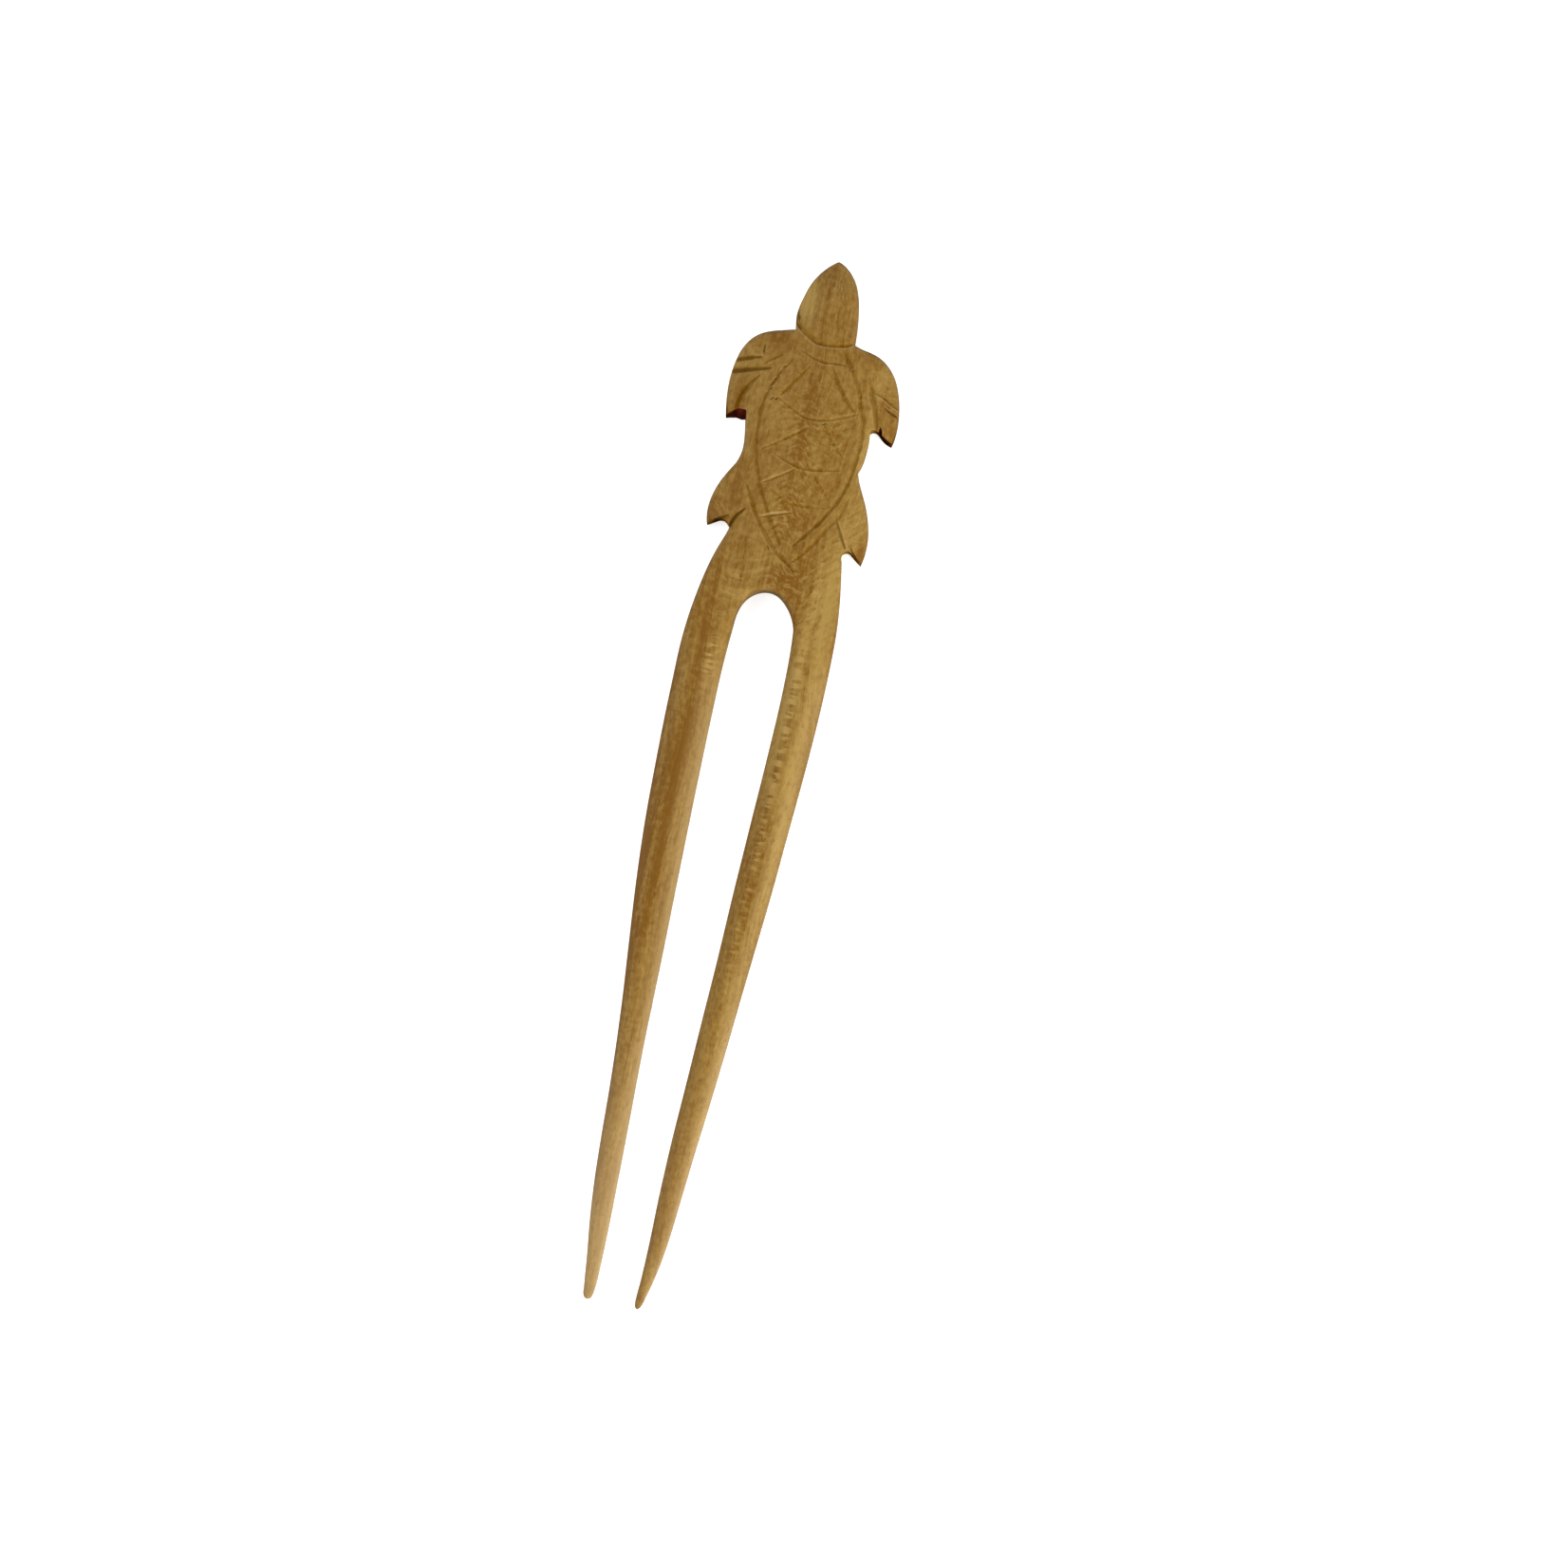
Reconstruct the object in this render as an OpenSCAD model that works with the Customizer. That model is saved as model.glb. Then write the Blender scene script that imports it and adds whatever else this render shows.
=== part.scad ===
// Two-pronged hair fork with a sea turtle carved on its head, in one piece of wood.
// Millimetres. It lies on its flat back: +Y towards the turtle's nose, +X to its right, +Z up.

/* [Prongs] */
// Length from the ends of the prongs to the top of the arch between them
prong_length = 123; // [80:1:160]
// Width of a prong where it meets the arch
prong_width = 7.4; // [5:0.1:10]
// Thickness of a prong where it meets the arch
prong_thick = 6.2; // [4:0.1:9]
// Width of the blunt end of a prong
tip_width = 2; // [1.2:0.1:4]
// Thickness of the blunt end of a prong
tip_thick = 2; // [1.2:0.1:3.6]
// Gap between the two ends
tip_gap = 7.1; // [4:0.1:14]
// Height of the ends above the surface that the fork lies on
tip_lift = 1.4; // [0:0.1:4]
// Distance that the ends stand to the left of the turtle's spine
tip_sway = 0.85; // [0:0.05:3]

/* [Arch] */
// Width of the gap at the foot of the arch
arch_width = 10.3; // [6:0.1:16]
// Height of the arch above its foot
arch_rise = 6; // [3:0.1:10]
// Distance that the arch stands to the left of the spine
arch_sway = 0.15; // [0:0.05:1]
// Wood between the top of the arch and the tail end of the turtle
bridge = 10; // [6:0.5:20]

/* [Turtle] */
// Length of the body from the tail end to the neck
body_length = 34; // [24:0.5:50]
// Width of the body between the flippers
body_width = 19.8; // [14:0.1:26]
// Thickness of the body along its spine
body_thick = 7; // [5:0.1:10]
// Width over the front flippers
front_span = 29.6; // [26:0.1:44]
// Width over the hind flippers
hind_span = 27.6; // [25:0.1:40]
// Thickness of the front flippers at their outer edge
flipper_thick = 4.8; // [3:0.1:5]
// Length of the head from the neck to the nose
head_length = 13; // [8:0.5:20]
// Width of the head
head_width = 10.6; // [7:0.1:14]
// Thickness of the head along its middle
head_thick = 6.4; // [4:0.1:9]

/* [Carving] */
// Width of a carved line
groove_width = 0.8; // [0.4:0.1:1.6]
// Depth of a carved line
groove_depth = 0.5; // [0.2:0.1:1]
// Width of the deep cut that sets off the head
collar_width = 1.2; // [0.6:0.1:2]
// Depth of the deep cut that sets off the head
collar_depth = 0.9; // [0.4:0.1:1.5]
// Width of the bevel around the turtle, above and below
edge_break = 0.8; // [0.3:0.1:1.2]

/* [Hidden] */
wood = [0.65, 0.5, 0.28];

// Places along the fork, from the ends of the prongs
foot_y = prong_length - arch_rise;
tail_y = prong_length + bridge;
neck_y = tail_y + body_length;
nose_y = neck_y + head_length;

ring_sides = 20;      // sides of a section through a prong
prong_exponent = 2.3; // shape of a prong's section: 2 is an ellipse, more is squarer
arch_exponent = 5;    // shape of the arch's section
tip_flat = 0.3;       // flat left on the rounded end, as a share of its width
lift_share = 0.45;    // share of the prong that bends up towards its end
head_drop = 1.8;      // fall of the head's top from its middle to its sides
tuck_depth = 0.5;     // dip of the turtle's plate under the top of the arch
plate_end = 0.2;      // share of the body length by which the plate runs under the arch
knife_over = 0.3;     // length of a knife above the wood that it cuts
knife_turn = 7;       // turn of the knife's eight sides, so that none lines up with an edge
knife_off = 0.12;     // distance of the knife's point from an edge that it bevels
grid_step = 2;        // spacing of the heights on the turtle's top

// Prongs from the end to the foot of the arch, as shares:
// [along, gap from the end's to the arch's, width from the end's to the root's, thickness likewise]
left_prong = [
    [0.02, 0.02, 0.01, 0.00], [0.07, -0.01, 0.15, 0.14], [0.10, 0.01, 0.24, 0.22],
    [0.17, 0.14, 0.37, 0.38], [0.26, 0.31, 0.42, 0.52], [0.36, 0.56, 0.46, 0.66],
    [0.43, 0.66, 0.57, 0.75], [0.51, 0.72, 0.73, 0.84], [0.60, 0.86, 0.89, 0.92],
    [0.68, 0.97, 0.99, 0.97], [0.81, 1.09, 1.06, 1.00], [0.94, 1.13, 1.07, 1.00],
    [1.00, 1.00, 1.04, 1.00]];
right_prong = [
    [0.02, -0.02, -0.05, 0.00], [0.07, 0.09, 0.11, 0.14], [0.10, 0.07, 0.20, 0.22],
    [0.17, 0.02, 0.34, 0.38], [0.26, 0.04, 0.46, 0.52], [0.34, 0.24, 0.55, 0.63],
    [0.43, 0.41, 0.61, 0.75], [0.51, 0.59, 0.69, 0.84], [0.60, 0.68, 0.79, 0.92],
    [0.68, 0.92, 0.82, 0.97], [0.81, 1.11, 0.89, 1.00], [0.94, 1.18, 0.93, 1.00],
    [1.00, 1.00, 0.95, 1.00]];

// Outer edge of the arch, from its foot to the spine:
// [turn round the arch, share of the body's half width, share of the prong's flare, foot to tail]
shoulder = [
    [0, 1, 1, 0], [0.17, 1, 0.83, 0.25], [0.33, 1, 0.55, 0.53], [0.5, 1, 0.24, 0.78],
    [0.67, 1, 0, 0.97], [0.83, 0.55, 0, 1.09], [1, 0, 0, 1.15]];

// Body: [along the body from the tail, left edge, right edge], edges as shares of its half width
body_rows = [
    [-plate_end, -0.74, 0.82], [-0.03, -0.94, 1.03], [0.12, -0.95, 1.02], [0.26, -0.98, 1.00],
    [0.37, -1.00, 1.00], [0.44, -1.03, 1.06], [0.50, -1.07, 1.08], [0.56, -1.09, 1.07],
    [0.62, -1.09, 1.06], [0.79, -0.89, 0.87], [0.97, -0.59, 0.54], [1.03, -0.49, 0.42]];

// Head, up its left side and down its right: [half width, along the head from the neck]
head_edge = [
    [-0.82, -0.08], [-0.99, 0.05], [-1.07, 0.17], [-1.08, 0.25], [-1.03, 0.41], [-0.93, 0.55],
    [-0.78, 0.70], [-0.57, 0.82], [-0.37, 0.92], [-0.14, 1.00], [0.05, 0.97], [0.24, 0.91],
    [0.41, 0.85], [0.58, 0.74], [0.71, 0.61], [0.80, 0.45], [0.88, 0.27], [0.93, 0.04], [0.90, -0.08]];

// Flippers: leading edge out to the point, then trailing edge back to the body:
// [outwards as a share of the half span, along the body from the tail]
front_left_lead = [
    [0.26, 1.02], [0.37, 1.01], [0.48, 1.00], [0.60, 1.00], [0.71, 0.98], [0.80, 0.96],
    [0.87, 0.92], [0.94, 0.85], [0.98, 0.76], [0.99, 0.69], [0.98, 0.60], [0.95, 0.52]];
front_left_trail = [[0.95, 0.52], [0.89, 0.54], [0.82, 0.56], [0.75, 0.55], [0.60, 0.59]];
front_right_lead = [
    [0.25, 1.00], [0.33, 0.99], [0.45, 0.98], [0.57, 0.98], [0.67, 0.96], [0.79, 0.91],
    [0.88, 0.86], [0.94, 0.80], [0.98, 0.72], [1.00, 0.65], [1.01, 0.58], [0.99, 0.55]];
front_right_trail = [
    [0.99, 0.55], [0.92, 0.55], [0.85, 0.58], [0.79, 0.59], [0.71, 0.59], [0.55, 0.62]];
hind_left_lead = [
    [0.57, 0.41], [0.72, 0.35], [0.76, 0.30], [0.82, 0.26], [0.89, 0.20], [0.95, 0.13],
    [0.98, 0.05], [0.96, -0.02]];
hind_left_trail = [
    [0.96, -0.02], [0.89, 0.00], [0.81, 0.02], [0.74, 0.02], [0.67, -0.01], [0.50, 0.02]];
hind_right_lead = [
    [0.59, 0.41], [0.72, 0.37], [0.76, 0.32], [0.82, 0.28], [0.89, 0.22], [0.96, 0.15],
    [1.00, 0.07], [1.01, 0.00], [0.99, -0.05]];
hind_right_trail = [
    [0.99, -0.05], [0.92, -0.04], [0.85, -0.01], [0.81, -0.01], [0.74, -0.02], [0.59, 0.02]];

// Carved lines on the body: [share of its half width, along the body from the tail]
collar_line = [
    [-0.50, 1.05], [-0.41, 1.01], [-0.27, 0.99], [-0.12, 0.98], [0.04, 0.97], [0.20, 0.98],
    [0.35, 0.99], [0.50, 1.01]];
shell_lines = [
    // Front of the shell, its left rim and its right rim
    [[-0.37, 0.92], [-0.23, 0.90], [-0.06, 0.89], [0.12, 0.89], [0.28, 0.89], [0.45, 0.89]],
    [[-0.50, 0.87], [-0.61, 0.82], [-0.72, 0.75], [-0.80, 0.68], [-0.84, 0.59], [-0.84, 0.50],
        [-0.79, 0.41], [-0.72, 0.32], [-0.61, 0.24], [-0.48, 0.15], [-0.33, 0.07], [-0.06, -0.05]],
    [[0.31, 0.97], [0.42, 0.92], [0.55, 0.87], [0.68, 0.80], [0.76, 0.74], [0.83, 0.69],
        [0.90, 0.63], [0.93, 0.54], [0.93, 0.46], [0.89, 0.37], [0.83, 0.29], [0.72, 0.21],
        [0.58, 0.13], [0.42, 0.06], [0.18, -0.03]],
    // Outer rim on both sides of the tail
    [[-0.81, 0.23], [-0.73, 0.16], [-0.58, 0.09], [-0.41, 0.02], [-0.23, -0.04], [0.16, -0.14]],
    [[0.91, 0.23], [0.83, 0.16], [0.71, 0.09], [0.56, 0.02], [0.41, -0.05], [0.19, -0.13]],
    // Edges of the plates across the shell
    [[-0.59, 0.67], [-0.39, 0.63], [-0.19, 0.61], [0.02, 0.60], [0.22, 0.60], [0.42, 0.62],
        [0.62, 0.65], [0.82, 0.68]],
    [[-0.55, 0.41], [-0.39, 0.38], [-0.19, 0.36], [0.02, 0.35], [0.22, 0.35], [0.42, 0.36],
        [0.72, 0.38]],
    [[-0.39, 0.21], [-0.25, 0.19], [-0.09, 0.17], [0.12, 0.17], [0.32, 0.17], [0.52, 0.18],
        [0.70, 0.20]],
    // Slanting edges of the plates, from front to back
    [[-0.20, 0.87], [-0.39, 0.78], [-0.60, 0.68]],
    [[0.23, 0.88], [0.46, 0.77], [0.73, 0.68]],
    [[0.01, 0.57], [-0.29, 0.50], [-0.71, 0.42]],
    [[0.25, 0.59], [0.45, 0.51], [0.71, 0.43]],
    [[-0.06, 0.35], [-0.29, 0.30], [-0.57, 0.25]],
    [[0.26, 0.33], [0.44, 0.27], [0.64, 0.21]],
    [[0.04, 0.13], [-0.19, 0.11], [-0.48, 0.08]]];

// Carved lines on the flippers: [share of the half span, along the body from the tail]
front_left_lines = [
    [[0.96, 0.81], [0.83, 0.83], [0.69, 0.85]],
    [[0.98, 0.75], [0.77, 0.78], [0.55, 0.80]],
    [[0.66, 0.78], [0.74, 0.72], [0.80, 0.65], [0.83, 0.57]]];
front_right_lines = [
    [[0.67, 0.79], [0.82, 0.77], [0.96, 0.74]],
    [[0.79, 0.73], [0.89, 0.71], [0.98, 0.69]],
    [[0.58, 0.85], [0.65, 0.78], [0.72, 0.71], [0.77, 0.61]]];
hind_left_lines = [[[0.54, 0.10], [0.60, 0.07], [0.68, 0.03]]];
hind_right_lines = [[[0.58, 0.15], [0.65, 0.09], [0.73, 0.03], [0.79, 0.00]]];

function lerp(a, b, t) = a + (b - a) * t;
function power(v, e) = sign(v) * pow(abs(v), e);

// Smooth line through points or table rows, in n steps between each two (Catmull-Rom)
function curve(rows, n) = concat(
    [for (i = [0 : len(rows) - 2], k = [0 : n - 1])
        let (
            t = k / n,
            a = rows[max(i - 1, 0)],
            b = rows[i],
            c = rows[i + 1],
            d = rows[min(i + 2, len(rows) - 1)])
        b + t / 2 * (c - a + t * (2 * a - 5 * b + 4 * c - d + t * (3 * b - a - 3 * c + d)))],
    [rows[len(rows) - 1]]);

// Shares to places: on the body, on the head, and on a flipper of one side (-1 left, 1 right)
function on_body(p) = [p[0] * body_width / 2, tail_y + p[1] * body_length];
function on_head(p) = [p[0] * head_width / 2, neck_y + p[1] * head_length];
function on_flipper(p, side, span) = [side * p[0] * span / 2, tail_y + p[1] * body_length];

// Outlines of the turtle's parts, seen from above
function flipper_edge(points, side, span) = curve([for (p = points) on_flipper(p, side, span)], 2);
body_left = curve([for (r = body_rows) on_body([r[1], r[0]])], 2);
body_right = curve([for (r = body_rows) on_body([r[2], r[0]])], 2);
head_outline = curve([for (p = head_edge) on_head(p)], 2);
front_left = [flipper_edge(front_left_lead, -1, front_span), flipper_edge(front_left_trail, -1, front_span)];
front_right = [flipper_edge(front_right_lead, 1, front_span), flipper_edge(front_right_trail, 1, front_span)];
hind_left = [flipper_edge(hind_left_lead, -1, hind_span), flipper_edge(hind_left_trail, -1, hind_span)];
hind_right = [flipper_edge(hind_right_lead, 1, hind_span), flipper_edge(hind_right_trail, 1, hind_span)];

// Heights of the top: [place along, height on the spine, half width, fall from the spine to there]
top_rows = [
    [foot_y, prong_thick, front_span / 2, 0],
    [tail_y, lerp(prong_thick, body_thick, 0.4), front_span / 2, lerp(0, body_thick - flipper_thick, 0.7)],
    [tail_y + 0.4 * body_length, body_thick, front_span / 2, body_thick - flipper_thick],
    [tail_y + 0.65 * body_length, body_thick, front_span / 2, body_thick - flipper_thick],
    [neck_y - 0.03 * body_length, lerp(head_thick, body_thick, 0.2), front_span / 2, body_thick - flipper_thick],
    [neck_y + 0.1 * head_length, head_thick, head_width / 2, head_drop],
    [neck_y + 0.5 * head_length, head_thick, head_width / 2, head_drop],
    [nose_y, lerp(0, head_thick, 0.7), head_width / 2, 0]];
function top_value(y, column) = lookup(y, [for (r = top_rows) [r[0], r[column]]]);
function top_z(x, y) = top_value(y, 1) - top_value(y, 3) * pow(min(1, abs(x) / top_value(y, 2)), 2);

// Distance of the gap's middle line to the left of the spine, and the lift of a prong's underside
function sway(y) = lerp(tip_sway, arch_sway, y / foot_y);
function lift(y) = tip_lift * pow(max(0, 1 - y / (lift_share * foot_y)), 2);

// Section of a prong or of the arch: [inner edge, outer edge, underside, thickness, squareness]
function prong_section(row, side) =
    let (
        y = row[0] * foot_y,
        inner = lerp(tip_gap, arch_width, row[1]) / 2,
        width = lerp(tip_width, prong_width, row[2]))
    [[side * inner - sway(y), y], [side * (inner + width) - sway(y), y],
        lift(y), lerp(tip_thick, prong_thick, row[3]), prong_exponent];
function arch_section(row, side) =
    let (
        turn = 90 * row[0],
        foot_out = prong_section(side < 0 ? left_prong[12] : right_prong[12], side)[1][0],
        body_out = on_body([body_rows[1][side < 0 ? 1 : 2], 0])[0],
        inner = [side * arch_width / 2 * cos(turn) - arch_sway, foot_y + arch_rise * sin(turn)],
        outer = [body_out * row[1] + (foot_out - body_out) * row[2], lerp(foot_y, tail_y, row[3])])
    [inner, outer, 0, top_value((inner[1] + outer[1]) / 2, 1), lerp(prong_exponent, arch_exponent, min(1, 2 * row[0]))];

// Ring of points round a section, shrunk about its middle by a factor
function ring(s, factor = 1) = [for (k = [0 : ring_sides - 1])
    let (
        a = 360 * k / ring_sides,
        across = factor * power(cos(a), 2 / s[4]),
        up = factor * power(sin(a), 2 / s[4]),
        place = (s[0] + s[1]) / 2 + across * (s[1] - s[0]) / 2)
    [place[0], place[1], s[2] + s[3] * (1 + up) / 2]];

// Rounded end of a prong: the first section shrinks over the last half width of its length
function end_rings(table, side) =
    let (s = prong_section(table[0], side), depth = min(s[0][1], tip_width / 2))
    [for (a = [0 : 22.5 : 67.5])
        let (y = depth * (1 - cos(a)))
        ring([[s[0][0], y], [s[1][0], y], s[2], s[3], s[4]], max(tip_flat, sin(a)))];

// All rings of one side, from the end of the prong to the top of the arch
function side_rings(table, side) = concat(
    end_rings(table, side),
    [for (row = curve(table, 2)) ring(prong_section(row, side))],
    [for (row = curve(shoulder, 2)) if (row[0] > 0 && (side < 0 || row[0] < 1)) ring(arch_section(row, side))]);

function backwards(list) = [for (i = [len(list) - 1 : -1 : 0]) list[i]];

// Skin over rings of equal length, closed by flat ends
module loft(rings) {
    n = len(rings[0]);
    last = len(rings) - 1;
    polyhedron(
        points = [for (r = rings, p = r) p],
        faces = concat(
            [[for (k = [0 : n - 1]) k]],
            [for (j = [0 : last - 1], k = [0 : n - 1])
                let (k2 = (k + 1) % n)
                each [
                    [j * n + k, (j + 1) * n + k, (j + 1) * n + k2],
                    [j * n + k, (j + 1) * n + k2, j * n + k2]]],
            [[for (k = [n - 1 : -1 : 0]) last * n + k]]));
}

// Block under a grid of heights, given as rows of points, down to a floor
module height_block(rows, floor_z) {
    n = len(rows[0]);
    last = len(rows) - 1;
    low = n * len(rows);
    edge = concat(
        [for (i = [0 : n - 1]) i],
        [for (j = [1 : last]) j * n + n - 1],
        [for (i = [n - 2 : -1 : 0]) last * n + i],
        [for (j = [last - 1 : -1 : 1]) j * n]);
    polyhedron(
        points = concat([for (r = rows, p = r) p], [for (r = rows, p = r) [p[0], p[1], floor_z]]),
        faces = concat(
            [for (j = [0 : last - 1], i = [0 : n - 2])
                let (a = j * n + i)
                each [[a, a + n, a + n + 1], [a, a + n + 1, a + 1]]],
            [for (k = [0 : len(edge) - 1])
                let (a = edge[k], b = edge[(k + 1) % len(edge)])
                each [[a, b, low + b], [a, low + b, low + a]]],
            [[for (a = edge) low + a]]));
}

// Two prongs and the arch that joins them, as one bow
module bow() {
    loft(concat(side_rings(left_prong, -1), backwards(side_rings(right_prong, 1))));
}

// Outline of the turtle from above
module turtle_plan() {
    polygon(concat(body_left, backwards(body_right)));
    polygon(head_outline);
    for (f = [front_left, front_right, hind_left, hind_right])
        polygon(concat(f[0], f[1]));
}

// Domed board of the turtle, whose tail end dips under the top of the arch
module turtle_plate() {
    reach = max(front_span, hind_span) / 2 + grid_step;
    across = [for (x = [-reach : grid_step : reach]) x];
    start_y = tail_y - plate_end * body_length - grid_step;
    along = [for (y = [start_y : grid_step : nose_y + grid_step]) y];
    function tuck(y) = tuck_depth * min(1, max(0, (tail_y - y) / (plate_end * body_length)));
    intersection() {
        linear_extrude(height = 2 * body_thick) turtle_plan();
        height_block([for (y = along) [for (x = across) [x, y, top_z(x, y) - tuck(y)]]], -1);
    }
}

// Point of a knife on the top of the wood: a cone that stands on its tip
module knife_point(p, width, depth) {
    translate([p[0], p[1], top_z(p[0], p[1]) - depth])
        rotate(knife_turn)
            cylinder(h = depth + knife_over, r1 = 0, r2 = width / 2 * (1 + knife_over / depth), $fn = 8);
}

// The same on the flat back, where the cone stands on its head
module back_point(p, width, depth) {
    translate([p[0], p[1], -knife_over])
        rotate(knife_turn)
            cylinder(h = depth + knife_over, r1 = width / 2 * (1 + knife_over / depth), r2 = 0, $fn = 8);
}

// Carved line: the knife goes in, deepens and comes out again
module knife_cut(points, width, depth) {
    path = curve(points, 2);
    last = len(path) - 1;
    function press(i) = lerp(0.35, 1, sqrt(sin(180 * i / last)));
    for (i = [0 : last - 1])
        hull() {
            knife_point(path[i], width * press(i), depth * press(i));
            knife_point(path[i + 1], width * press(i + 1), depth * press(i + 1));
        }
}

// Line moved sideways by a distance, to the left of its direction
function moved(points, distance) = [for (i = [0 : len(points) - 1])
    let (
        way = points[min(i + 1, len(points) - 1)] - points[max(i - 1, 0)],
        aside = [-way[1], way[0]] / norm(way))
    points[i] + distance * aside];

// Bevel along the open part of an outline, above and below, with the knife just off the wood.
// Seen along the line, open is 1 where the air is on the left and -1 where it is on the right.
module bevel(edge, from, to, open) {
    path = moved(edge, open * knife_off);
    for (i = [from : to - 1]) {
        hull() {
            knife_point(path[i], 2 * edge_break, edge_break);
            knife_point(path[i + 1], 2 * edge_break, edge_break);
        }
        hull() {
            back_point(path[i], 2 * edge_break, edge_break);
            back_point(path[i + 1], 2 * edge_break, edge_break);
        }
    }
}

module bevels() {
    bevel(head_outline, 2, len(head_outline) - 4, 1);
    bevel(body_left, 7, 15, 1);
    bevel(body_right, 8, 15, -1);
    for (f = [front_left, hind_left]) {
        bevel(f[0], 2, len(f[0]) - 1, -1);
        bevel(f[1], 0, len(f[1]) - 3, -1);
    }
    for (f = [front_right, hind_right]) {
        bevel(f[0], 2, len(f[0]) - 1, 1);
        bevel(f[1], 0, len(f[1]) - 3, 1);
    }
}

module carving() {
    knife_cut([for (p = collar_line) on_body(p)], collar_width, collar_depth);
    for (line = shell_lines)
        knife_cut([for (p = line) on_body(p)], groove_width, groove_depth);
    for (line = front_left_lines)
        knife_cut([for (p = line) on_flipper(p, -1, front_span)], groove_width, groove_depth);
    for (line = front_right_lines)
        knife_cut([for (p = line) on_flipper(p, 1, front_span)], groove_width, groove_depth);
    for (line = hind_left_lines)
        knife_cut([for (p = line) on_flipper(p, -1, hind_span)], groove_width, groove_depth);
    for (line = hind_right_lines)
        knife_cut([for (p = line) on_flipper(p, 1, hind_span)], groove_width, groove_depth);
}

// Middle of the widest points left and right, which the fork is centred on
function widest(points) = max([for (p = points) p[0]]);
function leftmost(points) = min([for (p = points) p[0]]);
middle_x = (max(widest(front_right[0]), widest(hind_right[0]))
    + min(leftmost(front_left[0]), leftmost(hind_left[0]))) / 2;

module hair_fork() {
    color(wood)
        translate([-middle_x, -nose_y / 2, 0])
            difference() {
                union() {
                    bow();
                    turtle_plate();
                }
                bevels();
                carving();
            }
}

hair_fork();
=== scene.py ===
import math

import bmesh
import bpy
import numpy as np
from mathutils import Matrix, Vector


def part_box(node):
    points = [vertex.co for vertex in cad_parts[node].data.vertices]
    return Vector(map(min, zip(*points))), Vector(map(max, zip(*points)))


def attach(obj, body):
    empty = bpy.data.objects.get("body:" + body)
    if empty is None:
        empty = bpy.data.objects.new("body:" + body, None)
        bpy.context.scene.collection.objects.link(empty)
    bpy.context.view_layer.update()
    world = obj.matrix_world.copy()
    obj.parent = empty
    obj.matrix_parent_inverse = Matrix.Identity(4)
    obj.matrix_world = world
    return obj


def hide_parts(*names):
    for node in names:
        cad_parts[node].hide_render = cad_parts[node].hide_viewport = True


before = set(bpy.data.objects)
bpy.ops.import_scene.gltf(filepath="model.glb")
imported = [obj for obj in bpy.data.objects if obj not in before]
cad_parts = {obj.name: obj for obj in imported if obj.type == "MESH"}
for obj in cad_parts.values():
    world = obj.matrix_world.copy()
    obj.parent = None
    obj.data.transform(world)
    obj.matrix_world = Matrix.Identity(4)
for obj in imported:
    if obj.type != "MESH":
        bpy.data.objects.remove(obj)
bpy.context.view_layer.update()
forkLow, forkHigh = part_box("hair_fork")

# The fork is drawn 180 mm long in its own plan: u to the right and v up from the ends of the prongs,
# in mm. The frame says how long it really is and where it lies.
plan = {
    "length": 180.0,
    "middleU": 0.998,  # u of the middle of its width
    "seenFrom": (9.62, 92.1),  # plan place right under the camera
    "cameraHeight": 300.0,
    "seenPlane": 3.0,  # height at which the plan's scale was read
    "lean": 12.19,  # degrees that the fork leans to the right in the picture
    "pictureWidth": 264.7,  # mm across the picture at that height
}
unit = (forkHigh.y - forkLow.y) / plan["length"]
middleX = (forkLow.x + forkHigh.x) / 2


def plateau(a, b, x):  # 0 below a, 1 above b, smooth between
    t = np.clip((x - a) / (b - a), 0, 1)
    return t * t * (3 - 2 * t)


# A cubic through the points, which at each point runs the way of the parabola through it and its
# two neighbours. Places are then laid along it, at equal steps or at the given shares of its length.
def smoothLine(points, places):
    p = np.asarray(points, float)
    gap = np.diff(p, axis=0)
    far = np.linalg.norm(gap, axis=1)[:, None]
    slope = gap / far
    way = np.repeat(slope[:1], len(p), axis=0)
    if len(p) > 2:
        way[1:-1] = (slope[:-1] * far[1:] + slope[1:] * far[:-1]) / (far[:-1] + far[1:])
        way[0] = 2 * slope[0] - way[1]
        way[-1] = 2 * slope[-1] - way[-2]
    t = np.linspace(0, 1, 16, endpoint=False)[None, :, None]
    start, end = p[:-1, None], p[1:, None]
    leave, arrive = (way[:-1] * far)[:, None], (way[1:] * far)[:, None]
    fine = (
        (2 * t**3 - 3 * t**2 + 1) * start + (t**3 - 2 * t**2 + t) * leave
        + (3 * t**2 - 2 * t**3) * end + (t**3 - t**2) * arrive
    ).reshape(-1, 2)
    fine = np.vstack([fine, p[-1]])
    run = np.append(0, np.cumsum(np.linalg.norm(np.diff(fine, axis=0), axis=1)))
    share = np.linspace(0, 1, places) if np.ndim(places) == 0 else places
    return np.stack([np.interp(share * run[-1], run, fine[:, k]) for k in (0, 1)], -1)


# The carved fork

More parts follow.
